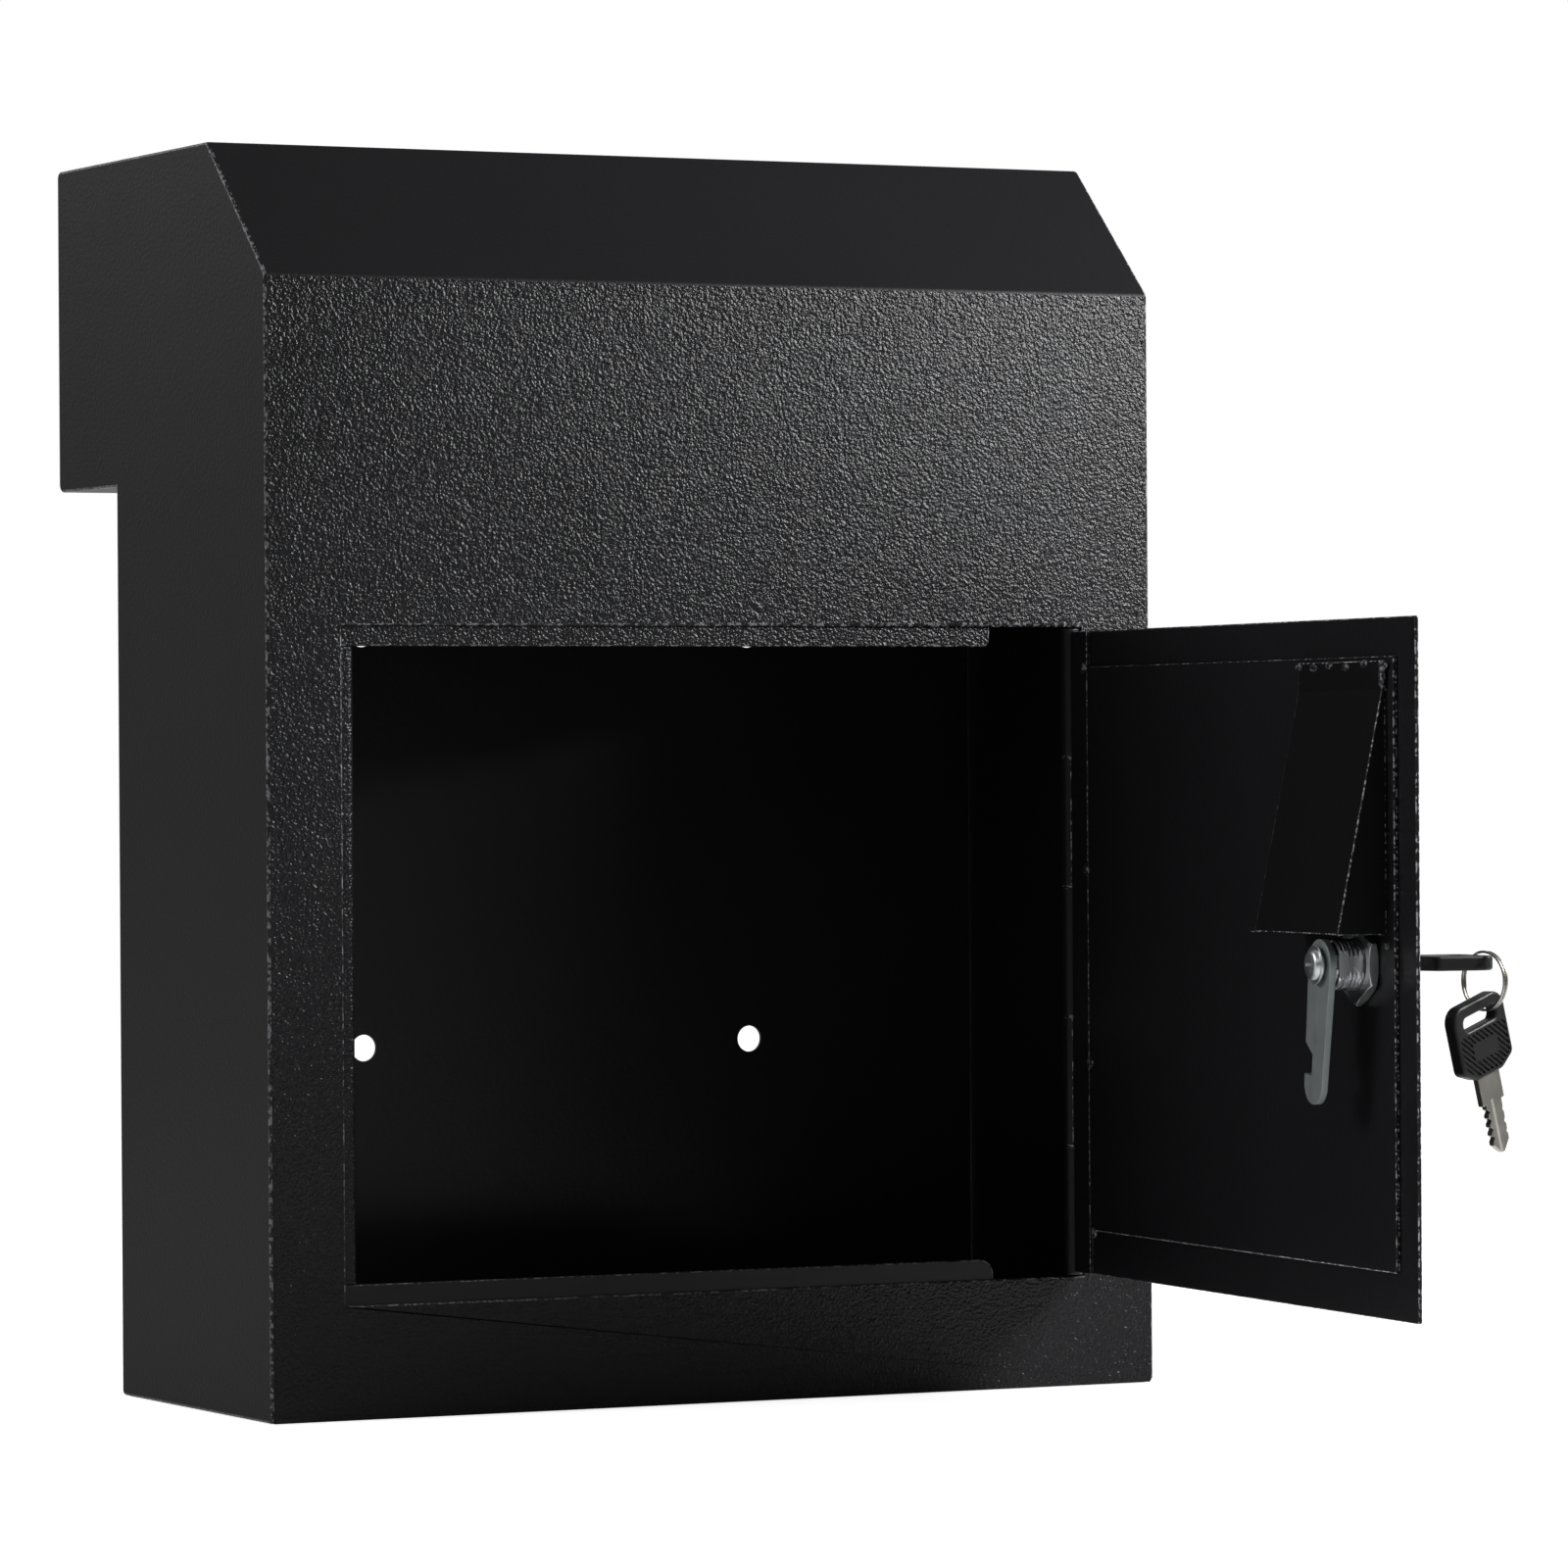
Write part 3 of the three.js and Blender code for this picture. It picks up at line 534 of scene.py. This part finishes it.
def plain_copy(node):
    """A copy of a frame node with its triangles merged into flat faces."""
    activate(frame["nodes"][node])
    bpy.ops.object.duplicate()
    piece = bpy.context.active_object
    bpy.ops.object.parent_clear(type="CLEAR_KEEP_TRANSFORM")
    open_mesh(piece)
    bpy.ops.mesh.select_all(action="SELECT")
    bpy.ops.mesh.remove_doubles(threshold=MERGE)
    bpy.ops.mesh.dissolve_limited(angle_limit=FLAT)
    bpy.ops.mesh.normals_make_consistent(inside=False)
    close_mesh()
    return piece


def round_edges(piece, radius, wanted=None, segments=3, sharper_than=30, edge_coat=True, clamped=True):
    """Rounds the sharp edges that are wanted, and paints the rounding with the second finish."""
    open_mesh(piece, "EDGE")
    bpy.ops.mesh.select_all(action="DESELECT")
    form = bmesh.from_edit_mesh(piece.data)
    for edge in form.edges:
        sharp = edge.calc_face_angle(0) > math.radians(sharper_than)
        edge.select_set(sharp and (wanted is None or bool(wanted(edge.verts[0].co, edge.verts[1].co))))
    bmesh.update_edit_mesh(piece.data)
    bpy.ops.mesh.bevel(offset=radius * MM, segments=segments, material=1 if edge_coat else -1,
                       miter_outer="ARC", clamp_overlap=clamped)
    close_mesh()
    return piece


def with_coats(piece, *coats):
    piece.data.materials.clear()
    for coat in coats:
        piece.data.materials.append(coat)
    return piece


small_part_weight, sheet_weight = 50, 100


def smooth(piece, angle=35, large_faces=small_part_weight):
    """Shades a piece smooth, with normals that follow its large faces."""
    activate(piece)
    bpy.ops.object.shade_smooth_by_angle(angle=math.radians(angle))
    apply_modifier(piece, "WEIGHTED_NORMAL", keep_sharp=True, weight=large_faces)
    return piece


def finish(piece, name, body, slot, *nodes):
    """Names a piece, hangs it on its body and hides the nodes that it stands for. The slot is not used.
    """
    piece.name = name
    piece.data.name = name
    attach(piece, body)
    if nodes:
        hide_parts(*nodes)
    print(f"{name}: {len(piece.data.polygons)} faces")
    return piece


# %% Coated edges
box_half = cad_box[1][0]
side_sheet = 1.5 * MM


def on_outer_face(first, second):
    """Edges that lie in the outer face of a side panel."""
    return min(abs(first.x), abs(second.x)) > box_half - 0.1 * MM


def away_from_sides(first, second):
    """Edges that aren't against a side panel."""
    return min(abs(first.x), abs(second.x)) < box_half - side_sheet


def coated(node, body, radius, coat, wanted=None, rim=coat_edge_glints, clamped=True):
    """A sheet of the frame with rounded edges, one coat on its faces and one on its edges."""
    panel = with_coats(plain_copy(node), coat, rim)
    smooth(round_edges(panel, radius, wanted, clamped=clamped), large_faces=sheet_weight)
    return finish(panel, node + "_coated", body, "powder_coat", node)


# %% [markdown]
# ## The box
# The front and the hood are one folded sheet. It is welded between the side panels and sprayed together
# with them, so no gap shows. Here the ends of the folded sheet move out until they touch the sides, and
# only the outer rim of each side is rounded, which leaves one thick coated corner. The front, the
# hood's slope and the level top are faces of one mesh, so each gets its own coat by where it faces.


# %% Front and hood
def paint_faces(piece, coat_number, wanted):
    """In edit mode, gives the wanted faces another of the piece's coats."""
    pick_faces(piece, wanted)
    piece.active_material_index = coat_number
    bpy.ops.object.material_slot_assign()


front_coats = (coat_front, coat_edge_glints, coat_hood, coat_top)
front = with_coats(plain_copy("front_hood_panel"), *front_coats)
open_mesh(front, "VERT")
weld_gap = 0.2 * MM
hood_foot = 200 * MM
for side in (-1, 1):
    bpy.ops.mesh.select_all(action="DESELECT")
    form = bmesh.from_edit_mesh(front.data)
    for vertex in form.verts:
        vertex.select_set(side * vertex.co.x > box_half - side_sheet)
    form.select_flush(True)
    bmesh.update_edit_mesh(front.data)
    bpy.ops.transform.translate(value=(side * weld_gap, 0, 0))
bpy.ops.mesh.select_mode(type="FACE")
for coat, facing_up in ((coat_hood, 0.1), (coat_top, 0.9)):
    paint_faces(front, front_coats.index(coat),
                lambda middle, normal: normal.z > facing_up and middle.z > hood_foot)
close_mesh()
smooth(round_edges(front, 0.55, away_from_sides), large_faces=sheet_weight)
finish(front, "front_hood_panel_coated", "box", "powder_coat", "front_hood_panel")

# %% Sides, back and inner sheets
for node in ("left_side_panel", "right_side_panel"):
    coated(node, "box", 0.9, coat_side, on_outer_face)
for node in ("bottom_panel", "chute_rear_panel"):
    coated(node, "box", 0.3, coat_side, away_from_sides)
for node in ("lower_back_panel", "chute_baffle", "door_stop_bottom"):
    coated(node, "box", 0.4, coat_door)
for node in ("door_stop_top", "door_keeper"):
    coated(node, "box", 0.5, coat_front)
coated("hinge_leaf_body", "box", 0.25, coat_door)

# %% [markdown]
# ## The door
# The door is two welded sheets with a guard over the lock and one leaf of the hinge. Its edges are
# the brightest lines on the box, so their coat has brighter painted glints, pale dots in its colour. The
# bevel's guard against overlaps would shrink the rounding to nothing on three of them, so it is off
# there.

# %% Door sheets
for node in ("door_plate", "door_inner_plate"):
    coated(node, "door", 0.4, coat_door, rim=coat_door_edge_glints, clamped=False)
# The guard's darker coat is painted shade.
coated("lock_guard", "door", 0.35, coat_guard_shaded, rim=coat_door_edge_glints, clamped=False)
coated("hinge_leaf_door", "door", 0.25, coat_door, rim=coat_door_edge_glints)


# %% [markdown]
# ## Weld beads and drips
# The guard, the inner plate and the hinge are held by small hand welds that were painted over. Each one
# is an ico sphere that is knocked out of round by a few random moves, smoothed and pressed flat, so no
# two are alike. Their places are given on the closed door, in millimetres above the foot of the box,
# and each random start is written down, so that every run gives the same beads.


# %% Weld beads
def weld_bead(place, size, seed):
    bpy.ops.object.select_all(action="DESELECT")
    bpy.ops.mesh.primitive_ico_sphere_add(subdivisions=3, radius=1, location=(0, 0, 0))
    bead = bpy.context.active_object
    open_mesh(bead, "VERT")
    bpy.ops.mesh.select_all(action="SELECT")
    bpy.ops.transform.vertex_random(offset=0.16, uniform=0.0, normal=0.6, seed=seed)
    bpy.ops.mesh.vertices_smooth(factor=0.6, repeat=3)
    bpy.ops.transform.resize(value=Vector(size) * MM, center_override=(0, 0, 0))
    bpy.ops.transform.translate(value=Vector(place) * MM)
    close_mesh()
    return bead


def weld_beads(name, body, place, beads):
    pieces = [weld_bead(spot, size, seed) for seed, (spot, size) in enumerate(beads, start=1)]
    # The welds take the coat for edges, whose pale dots are painted glints.
    line = put_in_place(with_coats(join_pieces(*pieces), coat_edge_glints), place)
    activate(line)
    bpy.ops.object.shade_smooth()
    return finish(line, name, body, "powder_coat")


on_closed_door = door_frame @ Matrix.Translation((0, 0, cad_box[0][2]))
tack_depth, tack_size = -126.4, (2.6, 0.9, 1.9)
tack_places = [(116.8, 239.4), (115.4, 172.3), (113.1, 108.5), (111.6, 52.0)]
tacks = [((x, tack_depth, z), tack_size) for x, z in tack_places]
tacks.append(((-115.1, tack_depth, 151.9), (1.7, 0.8, 1.5)))
weld_beads("door_tack_welds", "door", on_closed_door, tacks)
guard_depth, guard_size = -125.4, (3.6, 1.1, 1.5)
guard_places = [
    (-55.8, 237.2), (-66.5, 236.8), (-77.9, 237.4), (-89.9, 236.7), (-102.5, 237.5), (-114.9, 237.0),
]
guard_beads = [((x, guard_depth, z), guard_size) for x, z in guard_places]
guard_beads.append(((-115.0, -125.1, 234.0), (1.8, 1.1, 4.6)))
weld_beads("lock_guard_welds", "door", on_closed_door, guard_beads)

# %% [markdown]
# ## The lock barrel
# The lock's housing is a turned chrome barrel: a flat head outside the door, a thread for the nut, a
# plain collar at its end, and two flats that stop it from turning in the door. The body is spun from
# its profile, a small ridge is wound round it with a Screw modifier, and blocks cut the flats.

# %% Housing body
head_front = -3.5
barrel_end = 14.2
housing = turned("housing", [
    (7.3, head_front), (9.9, head_front), (10.3, -3.4), (10.75, -3.1), (11, -2.6), (11, -0.6),
    (10.8, -0.3), (8, -0.3), (8, 2.4), (7.05, 2.8), (7.05, 11.5), (7.8, 11.7), (8, 11.9), (8, 12.6),
    (7.6, 12.8), (7.6, 13), (8, 13.2), (8, 13.8), (7.7, barrel_end), (6.5, barrel_end), (6.3, 14),
    (6.3, -1.8), (7.3, -1.8), (7.3, head_front),
])
stop_pin = turned("stop_pin", [(0, 13), (0.7, 13), (0.7, 14.9), (0.5, 15.1), (0, 15.1)], steps=24)
shift_mesh(stop_pin, (0, 0, 7.15))
carve(housing, stop_pin, "UNION")

# %% Thread and flats
thread_pitch, thread_turns = 1.4, 6
flat_half = 6.75
ridge = draw_outline("thread", [(6.9, 3), (8, 3.45), (8, 3.7), (6.9, 4.15), (6.9, 3)])
apply_modifier(ridge, "SCREW", axis="Y", angle=math.tau, steps=48, render_steps=48,
               iterations=thread_turns, screw_offset=thread_pitch * MM)
open_mesh(ridge, "EDGE")
bpy.ops.mesh.select_all(action="SELECT")
bpy.ops.mesh.fill_holes(sides=0)
close_mesh()
carve(housing, face_outwards(ridge), "UNION")
for side in (-1, 1):
    low, high = sorted((side * flat_half, side * 14))
    carve(housing, block("flat", (low, -0.28, -12), (high, 20, 12)))
put_in_place(with_coats(smooth(housing), chrome), lock_frame)
finish(housing, "lock_housing_turned", "door", "chrome", "lock_housing")

# %% [markdown]
# ## The nut and the screw
# A hex nut starts as a turned ring whose rims slope, and six slices leave the flats. That gives the
# curved chamfer lines at its corners by themselves. The screw is turned in one piece with its flange,
# and a tapered cross is sunk into its head.

# %% Hex nut
nut_flats = 22.2
nut = turned("nut", [
    (8.7, 3), (11.3, 3), (12.9, 3.8), (12.9, 5.3), (11.3, 6.1), (8.7, 6.1), (8.3, 5.75), (8.3, 3.35),
    (8.7, 3),
])
for corner in range(6):
    angle = corner * math.tau / 6
    outwards = Vector((math.cos(angle), 0, math.sin(angle)))
    slice_off(nut, outwards * nut_flats / 2, outwards)
soften(face_outwards(nut), 0.12, segments=2)
put_in_place(with_coats(smooth(nut), zinc), lock_frame)
finish(nut, "lock_nut_cut", "door", "zinc", "lock_nut")

# %% Screw
stand_up = Matrix.Rotation(math.radians(-90), 4, "X")
screw_top = 21.2
screw = turned("screw", [
    (0, 13.9), (1.5, 13.9), (1.7, 14.2), (1.7, 18.9), (5.8, 18.9), (5.95, 19.05), (5.95, 19.45),
    (5.8, 19.6), (5.3, 19.5), (4.75, 19.5), (4.6, 19.8), (4.5, 20.4), (4.2, 20.8), (3.5, 21.05),
    (2.4, 21.17), (0, screw_top),
])
arm, half = 2.9, 0.65
cross_depth, cross_taper = 1.7, 0.6
cross = stamped("cross", [
    (arm, -half), (arm, half), (half, half), (half, arm), (-half, arm), (-half, half),
    (-arm, half), (-arm, -half), (-half, -half), (-half, -arm), (half, -arm), (half, -half),
], screw_top - cross_depth, screw_top + 1)
open_mesh(cross)
pick_faces(cross, lambda middle, normal: normal.z < -0.9)
bpy.ops.transform.resize(value=(cross_taper, cross_taper, 1), center_override=(0, 0, 0))
close_mesh()
carve(screw, put_in_place(cross, stand_up))
put_in_place(with_coats(smooth(screw), zinc), lock_frame)
finish(screw, "cam_screw_turned", "lock_core", "zinc", "cam_screw")

# %% [markdown]
# ## Cam, washers and plug
# These are stamped and turned plates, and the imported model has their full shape. They are copied, and a
# fine rounding is added, because a plated edge is never quite sharp and a thin bright line on it shows
# how thick the plate is.

# %% Cam, washers and plug
plated_parts = {
    "cam_arm": (0.25, "zinc", dull_zinc),
    "cam_stop_washer": (0.1, "zinc", zinc),
    "cam_lock_washer": (0.1, "zinc", zinc),
    "lock_plug": (0.12, "chrome", chrome),
}
for node, (radius, slot, metal) in plated_parts.items():
    part = with_coats(plain_copy(node), metal)
    smooth(round_edges(part, radius, segments=2, edge_coat=False))
    finish(part, node + "_plated", "lock_core", slot, node)

# %% [markdown]
# ## The keys
# Both keys are the same, so one is modelled and the second is a copy. The grip is a stamped plate with
# a slot for the ring, and fine slanting ribs round a plain pad on both faces. The ribs are one thin bar
# that an Array repeats, cut to the shape of the ribbed area before it carves the grip.


# %% Outline with rounded corners
def rounded_outline(corners, steps=6):
    """Places along an outline whose corners, given as (x, y, radius), are rounded."""
    places = []
    for index, (x, y, radius) in enumerate(corners):
        corner = Vector((x, y))
        before = (Vector(corners[index - 1][:2]) - corner).normalized()
        after = (Vector(corners[(index + 1) % len(corners)][:2]) - corner).normalized()
        if radius == 0:
            places.append((x, y))
            continue
        half_angle = before.angle(after) / 2
        reach = radius / math.tan(half_angle)
        start, end = corner + before * reach, corner + after * reach
        middle = corner + (before + after).normalized() * radius / math.sin(half_angle)
        for step in range(steps + 1):
            spoke = (start - middle).lerp(end - middle, step / steps).normalized()
            places.append(tuple(middle + spoke * radius))
    return places


def round_rectangle(left, low, right, high, radius):
    corners = ((left, low), (right, low), (right, high), (left, high))
    return rounded_outline([(*corner, radius) for corner in corners])


# %% Key grip
grip_far, grip_near, grip_half = -32.9, -8.9, 12.5
grip_top = 2.25
grip = stamped("key_grip", rounded_outline([
    (-grip_half, grip_far, 5), (grip_half, grip_far, 5), (grip_half, grip_near - 3.4, 2.4),
    (6.25, grip_near, 5), (-6.25, grip_near, 5), (-grip_half, grip_near - 3.4, 2.4),
]), -grip_top, grip_top)
carve(grip, stamped("slot", round_rectangle(-8, -29.1, 8, -24.7, 1.9), -4, 4))
soften(grip, 0.9, segments=4, sharper_than=40)
print("key grip:", len(grip.data.polygons), "faces")

# %% Ribs
rib_pitch, rib_width, rib_depth, rib_slant = 1.5, 0.75, 0.5, 45
rib_count, rib_half = 22, 22
ribs_middle = -17
for side in (-1, 1):
    low, high = sorted((side * (grip_top - rib_depth), side * (grip_top + 1)))
    bars = block("bars", (-rib_width / 2, -rib_half, low), (rib_width / 2, rib_half, high))
    apply_modifier(bars, "ARRAY", count=rib_count, use_relative_offset=False, use_constant_offset=True,
                   constant_offset_displace=(rib_pitch * MM, 0, 0))
    shift_mesh(bars, (-(rib_count - 1) / 2 * rib_pitch, 0, 0))
    turn_mesh(bars, rib_slant, "Z")
    shift_mesh(bars, (0, ribs_middle, 0))
    ribbed = stamped("ribbed", rounded_outline([
        (-11.2, -23.5, 1.2), (11.2, -23.5, 1.2), (11.2, -13.2, 1), (5.8, -10.3, 1), (-5.8, -10.3, 1),
        (-11.2, -13.2, 1),
    ]), -4, 4)
    carve(ribbed, stamped("pad", round_rectangle(-6, -20.4, 6, -14.6, 0.6), -5, 5))
    carve(bars, ribbed, "INTERSECT")
    carve(grip, bars)
print("ribbed grip:", len(grip.data.polygons), "faces")

# %% [markdown]
# ## The blade
# The blade is stamped with its neck, which ends inside the grip. Four notches on one side lift the
# wafers, shallower ones lie on the other side, and a long square bar set on its corner carves the
# groove along each face.

# %% Key blade
blade_half, blade_end, neck_half = 3.8, 16.2, 5.35
first_notch, notch_step, notch_half, notch_depth = 2.4, 2.8, 0.95, 1.1
notches = []
for bit in (3, 2, 1, 0):
    notch = first_notch + notch_step * bit
    notches += [(-blade_half, notch + notch_half), (-blade_half + notch_depth, notch),
                (-blade_half, notch - notch_half)]
blade = stamped("key_blade", [
    (-neck_half, -17.9), (neck_half, -17.9), (neck_half, 0), (blade_half, 0), (blade_half, 2.6),
    (3.3, 3.4), (blade_half, 4.3), (blade_half, 6.2), (3.1, 7.2), (blade_half, 8.2), (blade_half, 9.8),
    (3.3, 10.6), (blade_half, 11.4), (blade_half, 13),
    (0.6, blade_end), (-0.6, blade_end), (-blade_half, 13), *notches, (-blade_half, 0), (-neck_half, 0),
], -1, 1)
soften(blade, 0.18, segments=2)
for side in (-1, 1):
    groove = block("groove", (-0.6, -1.2, -0.6), (0.6, 18, 0.6))
    on_face = Matrix.Translation((side * 0.8 * MM, 0, side * 1.25 * MM))
    on_corner = Matrix.Rotation(math.radians(45), 4, "Y")
    carve(blade, put_in_place(groove, on_face @ on_corner))
print("key blade:", len(blade.data.polygons), "faces")

# %% Both keys
for grip_node, blade_node, body, place in (
    ("key_bow", "key_blade", "key", key_frame),
    ("spare_key_bow", "spare_key_blade", "spare_key", spare_frame),
):
    key_grip = put_in_place(with_coats(smooth(copy_piece(grip, "grip")), plastic), place)
    finish(key_grip, grip_node + "_ribbed", body, "black_plastic", grip_node)
    key_blade = put_in_place(with_coats(smooth(copy_piece(blade, "blade")), nickel), place)
    finish(key_blade, blade_node + "_grooved", body, "nickel", blade_node)
for pattern in (grip, blade):
    bpy.data.objects.remove(pattern)

# %% [markdown]
# ## The split ring
# The keys hang on a ring of springy wire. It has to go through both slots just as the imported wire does,
# so that wire is copied, and Subdivision Surface rounds its facets.

# %% Split ring
ring = with_coats(plain_copy("key_ring"), nickel)
apply_modifier(ring, "SUBSURF", levels=1, render_levels=1)
activate(ring)
bpy.ops.object.shade_smooth()
finish(ring, "key_ring_wire", "ring", "nickel", "key_ring")

# %% [markdown]
# ## Pieces that keep their shape
# The hinge pin and the wafers inside the lock are almost out of sight, and their shape is right as it
# is. They stay in the frame and only get their metal.

# %% Pieces that keep their shape
kept_nodes = {"hinge_pin": zinc}
kept_nodes.update({f"wafer_tumbler_{number}": brass for number in range(1, 5)})
for node, material in kept_nodes.items():
    with_coats(frame["nodes"][node], material)
print("kept from the frame:", sorted(kept_nodes))

# %% [markdown]
# ## Floor, backdrop and light
# The real box was photographed against white. The world is white to the camera, and a softer studio to
# everything else, a little brighter from above. Mirrored rays see the white too, but only where the
# backdrop would stand behind the box, because the room in front of it was dark.


# %% World
backdrop_way = (0.446, 0.895, 0)
sideways = (0.895, -0.446, 0)


def measured_along(tree, place, direction):
    """How far a place lies along a direction."""
    node = tree.nodes.new("ShaderNodeVectorMath")
    node.operation = "DOT_PRODUCT"
    node.inputs[1].default_value = direction
    tree.links.new(place, node.inputs[0])
    return node.outputs["Value"]


def seen_directly(tree, rays):
    """1 for what the camera sees, also through something clear."""
    return combine(tree, "MAXIMUM", rays.outputs["Is Camera Ray"], rays.outputs["Is Transmission Ray"])


world = bpy.data.worlds.new("studio")
bpy.context.scene.world = world
world.use_nodes = True
sky = world.node_tree
sky.nodes.clear()
sky_output = sky.nodes.new("ShaderNodeOutputWorld")
direction = sky.nodes.new("ShaderNodeTexCoord").outputs["Generated"]
parts = sky.nodes.new("ShaderNodeSeparateXYZ")
sky.links.new(direction, parts.inputs["Vector"])
backdrop = spread(sky, measured_along(sky, direction, backdrop_way), 0.0, 1.0, start=0.72, end=0.95)
above = spread(sky, parts.outputs["Z"], 0.1, 0.35)
studio_light = sky.nodes.new("ShaderNodeBackground")
sky.links.new(above, studio_light.inputs["Strength"])
white_light = sky.nodes.new("ShaderNodeBackground")
white_light.inputs["Color"].default_value = (1, 1, 1, 1)
rays = sky.nodes.new("ShaderNodeLightPath")
mirrored = combine(sky, "MULTIPLY", rays.outputs["Is Glossy Ray"], backdrop)
sky_mix = sky.nodes.new("ShaderNodeMixShader")
sky.links.new(combine(sky, "MAXIMUM", seen_directly(sky, rays), mirrored), sky_mix.inputs["Fac"])
sky.links.new(studio_light.outputs["Background"], sky_mix.inputs[1])
sky.links.new(white_light.outputs["Background"], sky_mix.inputs[2])
sky.links.new(sky_mix.outputs["Shader"], sky_output.inputs["Surface"])
print("world:", world.name)

# %% [markdown]
# ## A floor that keeps the shadow
# The floor has to melt into the white backdrop and still show a soft shadow under the box. So it is a
# pale matt floor with a glow added, which only the camera, mirrors and clear things see. Light and glow
# together reach white, and where the box takes the light away the floor stays a little darker. In a
# mirror the glow shows only well behind the box and not far out to its left, as the white paper did.

# %% Floor
floor_size = 40
floor_glow = 0.86
lowest = cad_box[0][2]
bpy.ops.object.select_all(action="DESELECT")
bpy.ops.mesh.primitive_plane_add(size=floor_size, location=(0, 0, lowest - 0.5 * MM))
floor = bpy.context.active_object
floor.name = "studio_floor"
floor_paint = bpy.data.materials.new("pale floor")
floor_paint.use_nodes = True
paint = floor_paint.node_tree
paint.nodes.clear()
paint_output = paint.nodes.new("ShaderNodeOutputMaterial")
matt = paint.nodes.new("ShaderNodeBsdfDiffuse")
matt.inputs["Color"].default_value = (0.8, 0.8, 0.8, 1)
glow = paint.nodes.new("ShaderNodeEmission")
paint_rays = paint.nodes.new("ShaderNodeLightPath")
floor_place = paint.nodes.new("ShaderNodeTexCoord").outputs["Object"]
paper = combine(
    paint, "MULTIPLY",
    spread(paint, measured_along(paint, floor_place, sideways), 0.0, 1.0, start=-0.5, end=-0.25),
    spread(paint, measured_along(paint, floor_place, backdrop_way), 0.0, 1.0, start=0.2, end=0.5),
)
mirrored_floor = combine(paint, "MULTIPLY", paint_rays.outputs["Is Glossy Ray"], paper)
floor_seen = combine(paint, "MAXIMUM", seen_directly(paint, paint_rays), mirrored_floor)
paint.links.new(combine(paint, "MULTIPLY", floor_seen, floor_glow), glow.inputs["Strength"])
paint_sum = paint.nodes.new("ShaderNodeAddShader")
paint.links.new(matt.outputs["BSDF"], paint_sum.inputs[0])
paint.links.new(glow.outputs["Emission"], paint_sum.inputs[1])
paint.links.new(paint_sum.outputs["Shader"], paint_output.inputs["Surface"])
floor.data.materials.append(floor_paint)
print("floor:", round(floor.location.z, 5), "m")

# %% [markdown]
# ## Softboxes
# A black coat shows little but what it mirrors, so each lamp stands where its sheen is wanted. A small
# one near the right lights the front and the open door, a large one at the left lights the long side, a
# weak one behind it reaches the side's rear edge, and one in front fills in the grain. The camera
# doesn't see them, and the Standard view shows each colour about as it is written.


# %% Lamps
def softbox(name, place, target, size, power):
    """A rectangular lamp that points at a target and that the camera doesn't see."""
    lamp_data = bpy.data.lights.new(name, "AREA")
    lamp_data.shape = "RECTANGLE"
    lamp_data.size, lamp_data.size_y = size
    lamp_data.energy = power
    lamp = bpy.data.objects.new(name, lamp_data)
    lamp.location = place
    lamp.visible_camera = False
    aim = Vector(target) - Vector(place)
    lamp.rotation_euler = aim.to_track_quat("-Z", "Y").to_euler()
    bpy.context.collection.objects.link(lamp)
    return lamp


softbox("right_softbox", (0.55, -0.55, 0.40), (0.10, -0.13, 0.15), size=(0.25, 0.35), power=10.5)
softbox("left_softbox", (-1.6, 0.3, 0.9), (-0.16, -0.03, 0.1), size=(0.8, 0.8), power=19)
softbox("back_left_softbox", (-0.9, 1.3, 0.75), (-0.16, -0.03, 0.12), size=(0.9, 0.7), power=2.5)
softbox("front_left_fill", (-1.2, -2.0, 1.4), (0, -0.13, 0), size=(1.0, 1.0), power=4)
bpy.context.scene.view_settings.view_transform = "Standard"
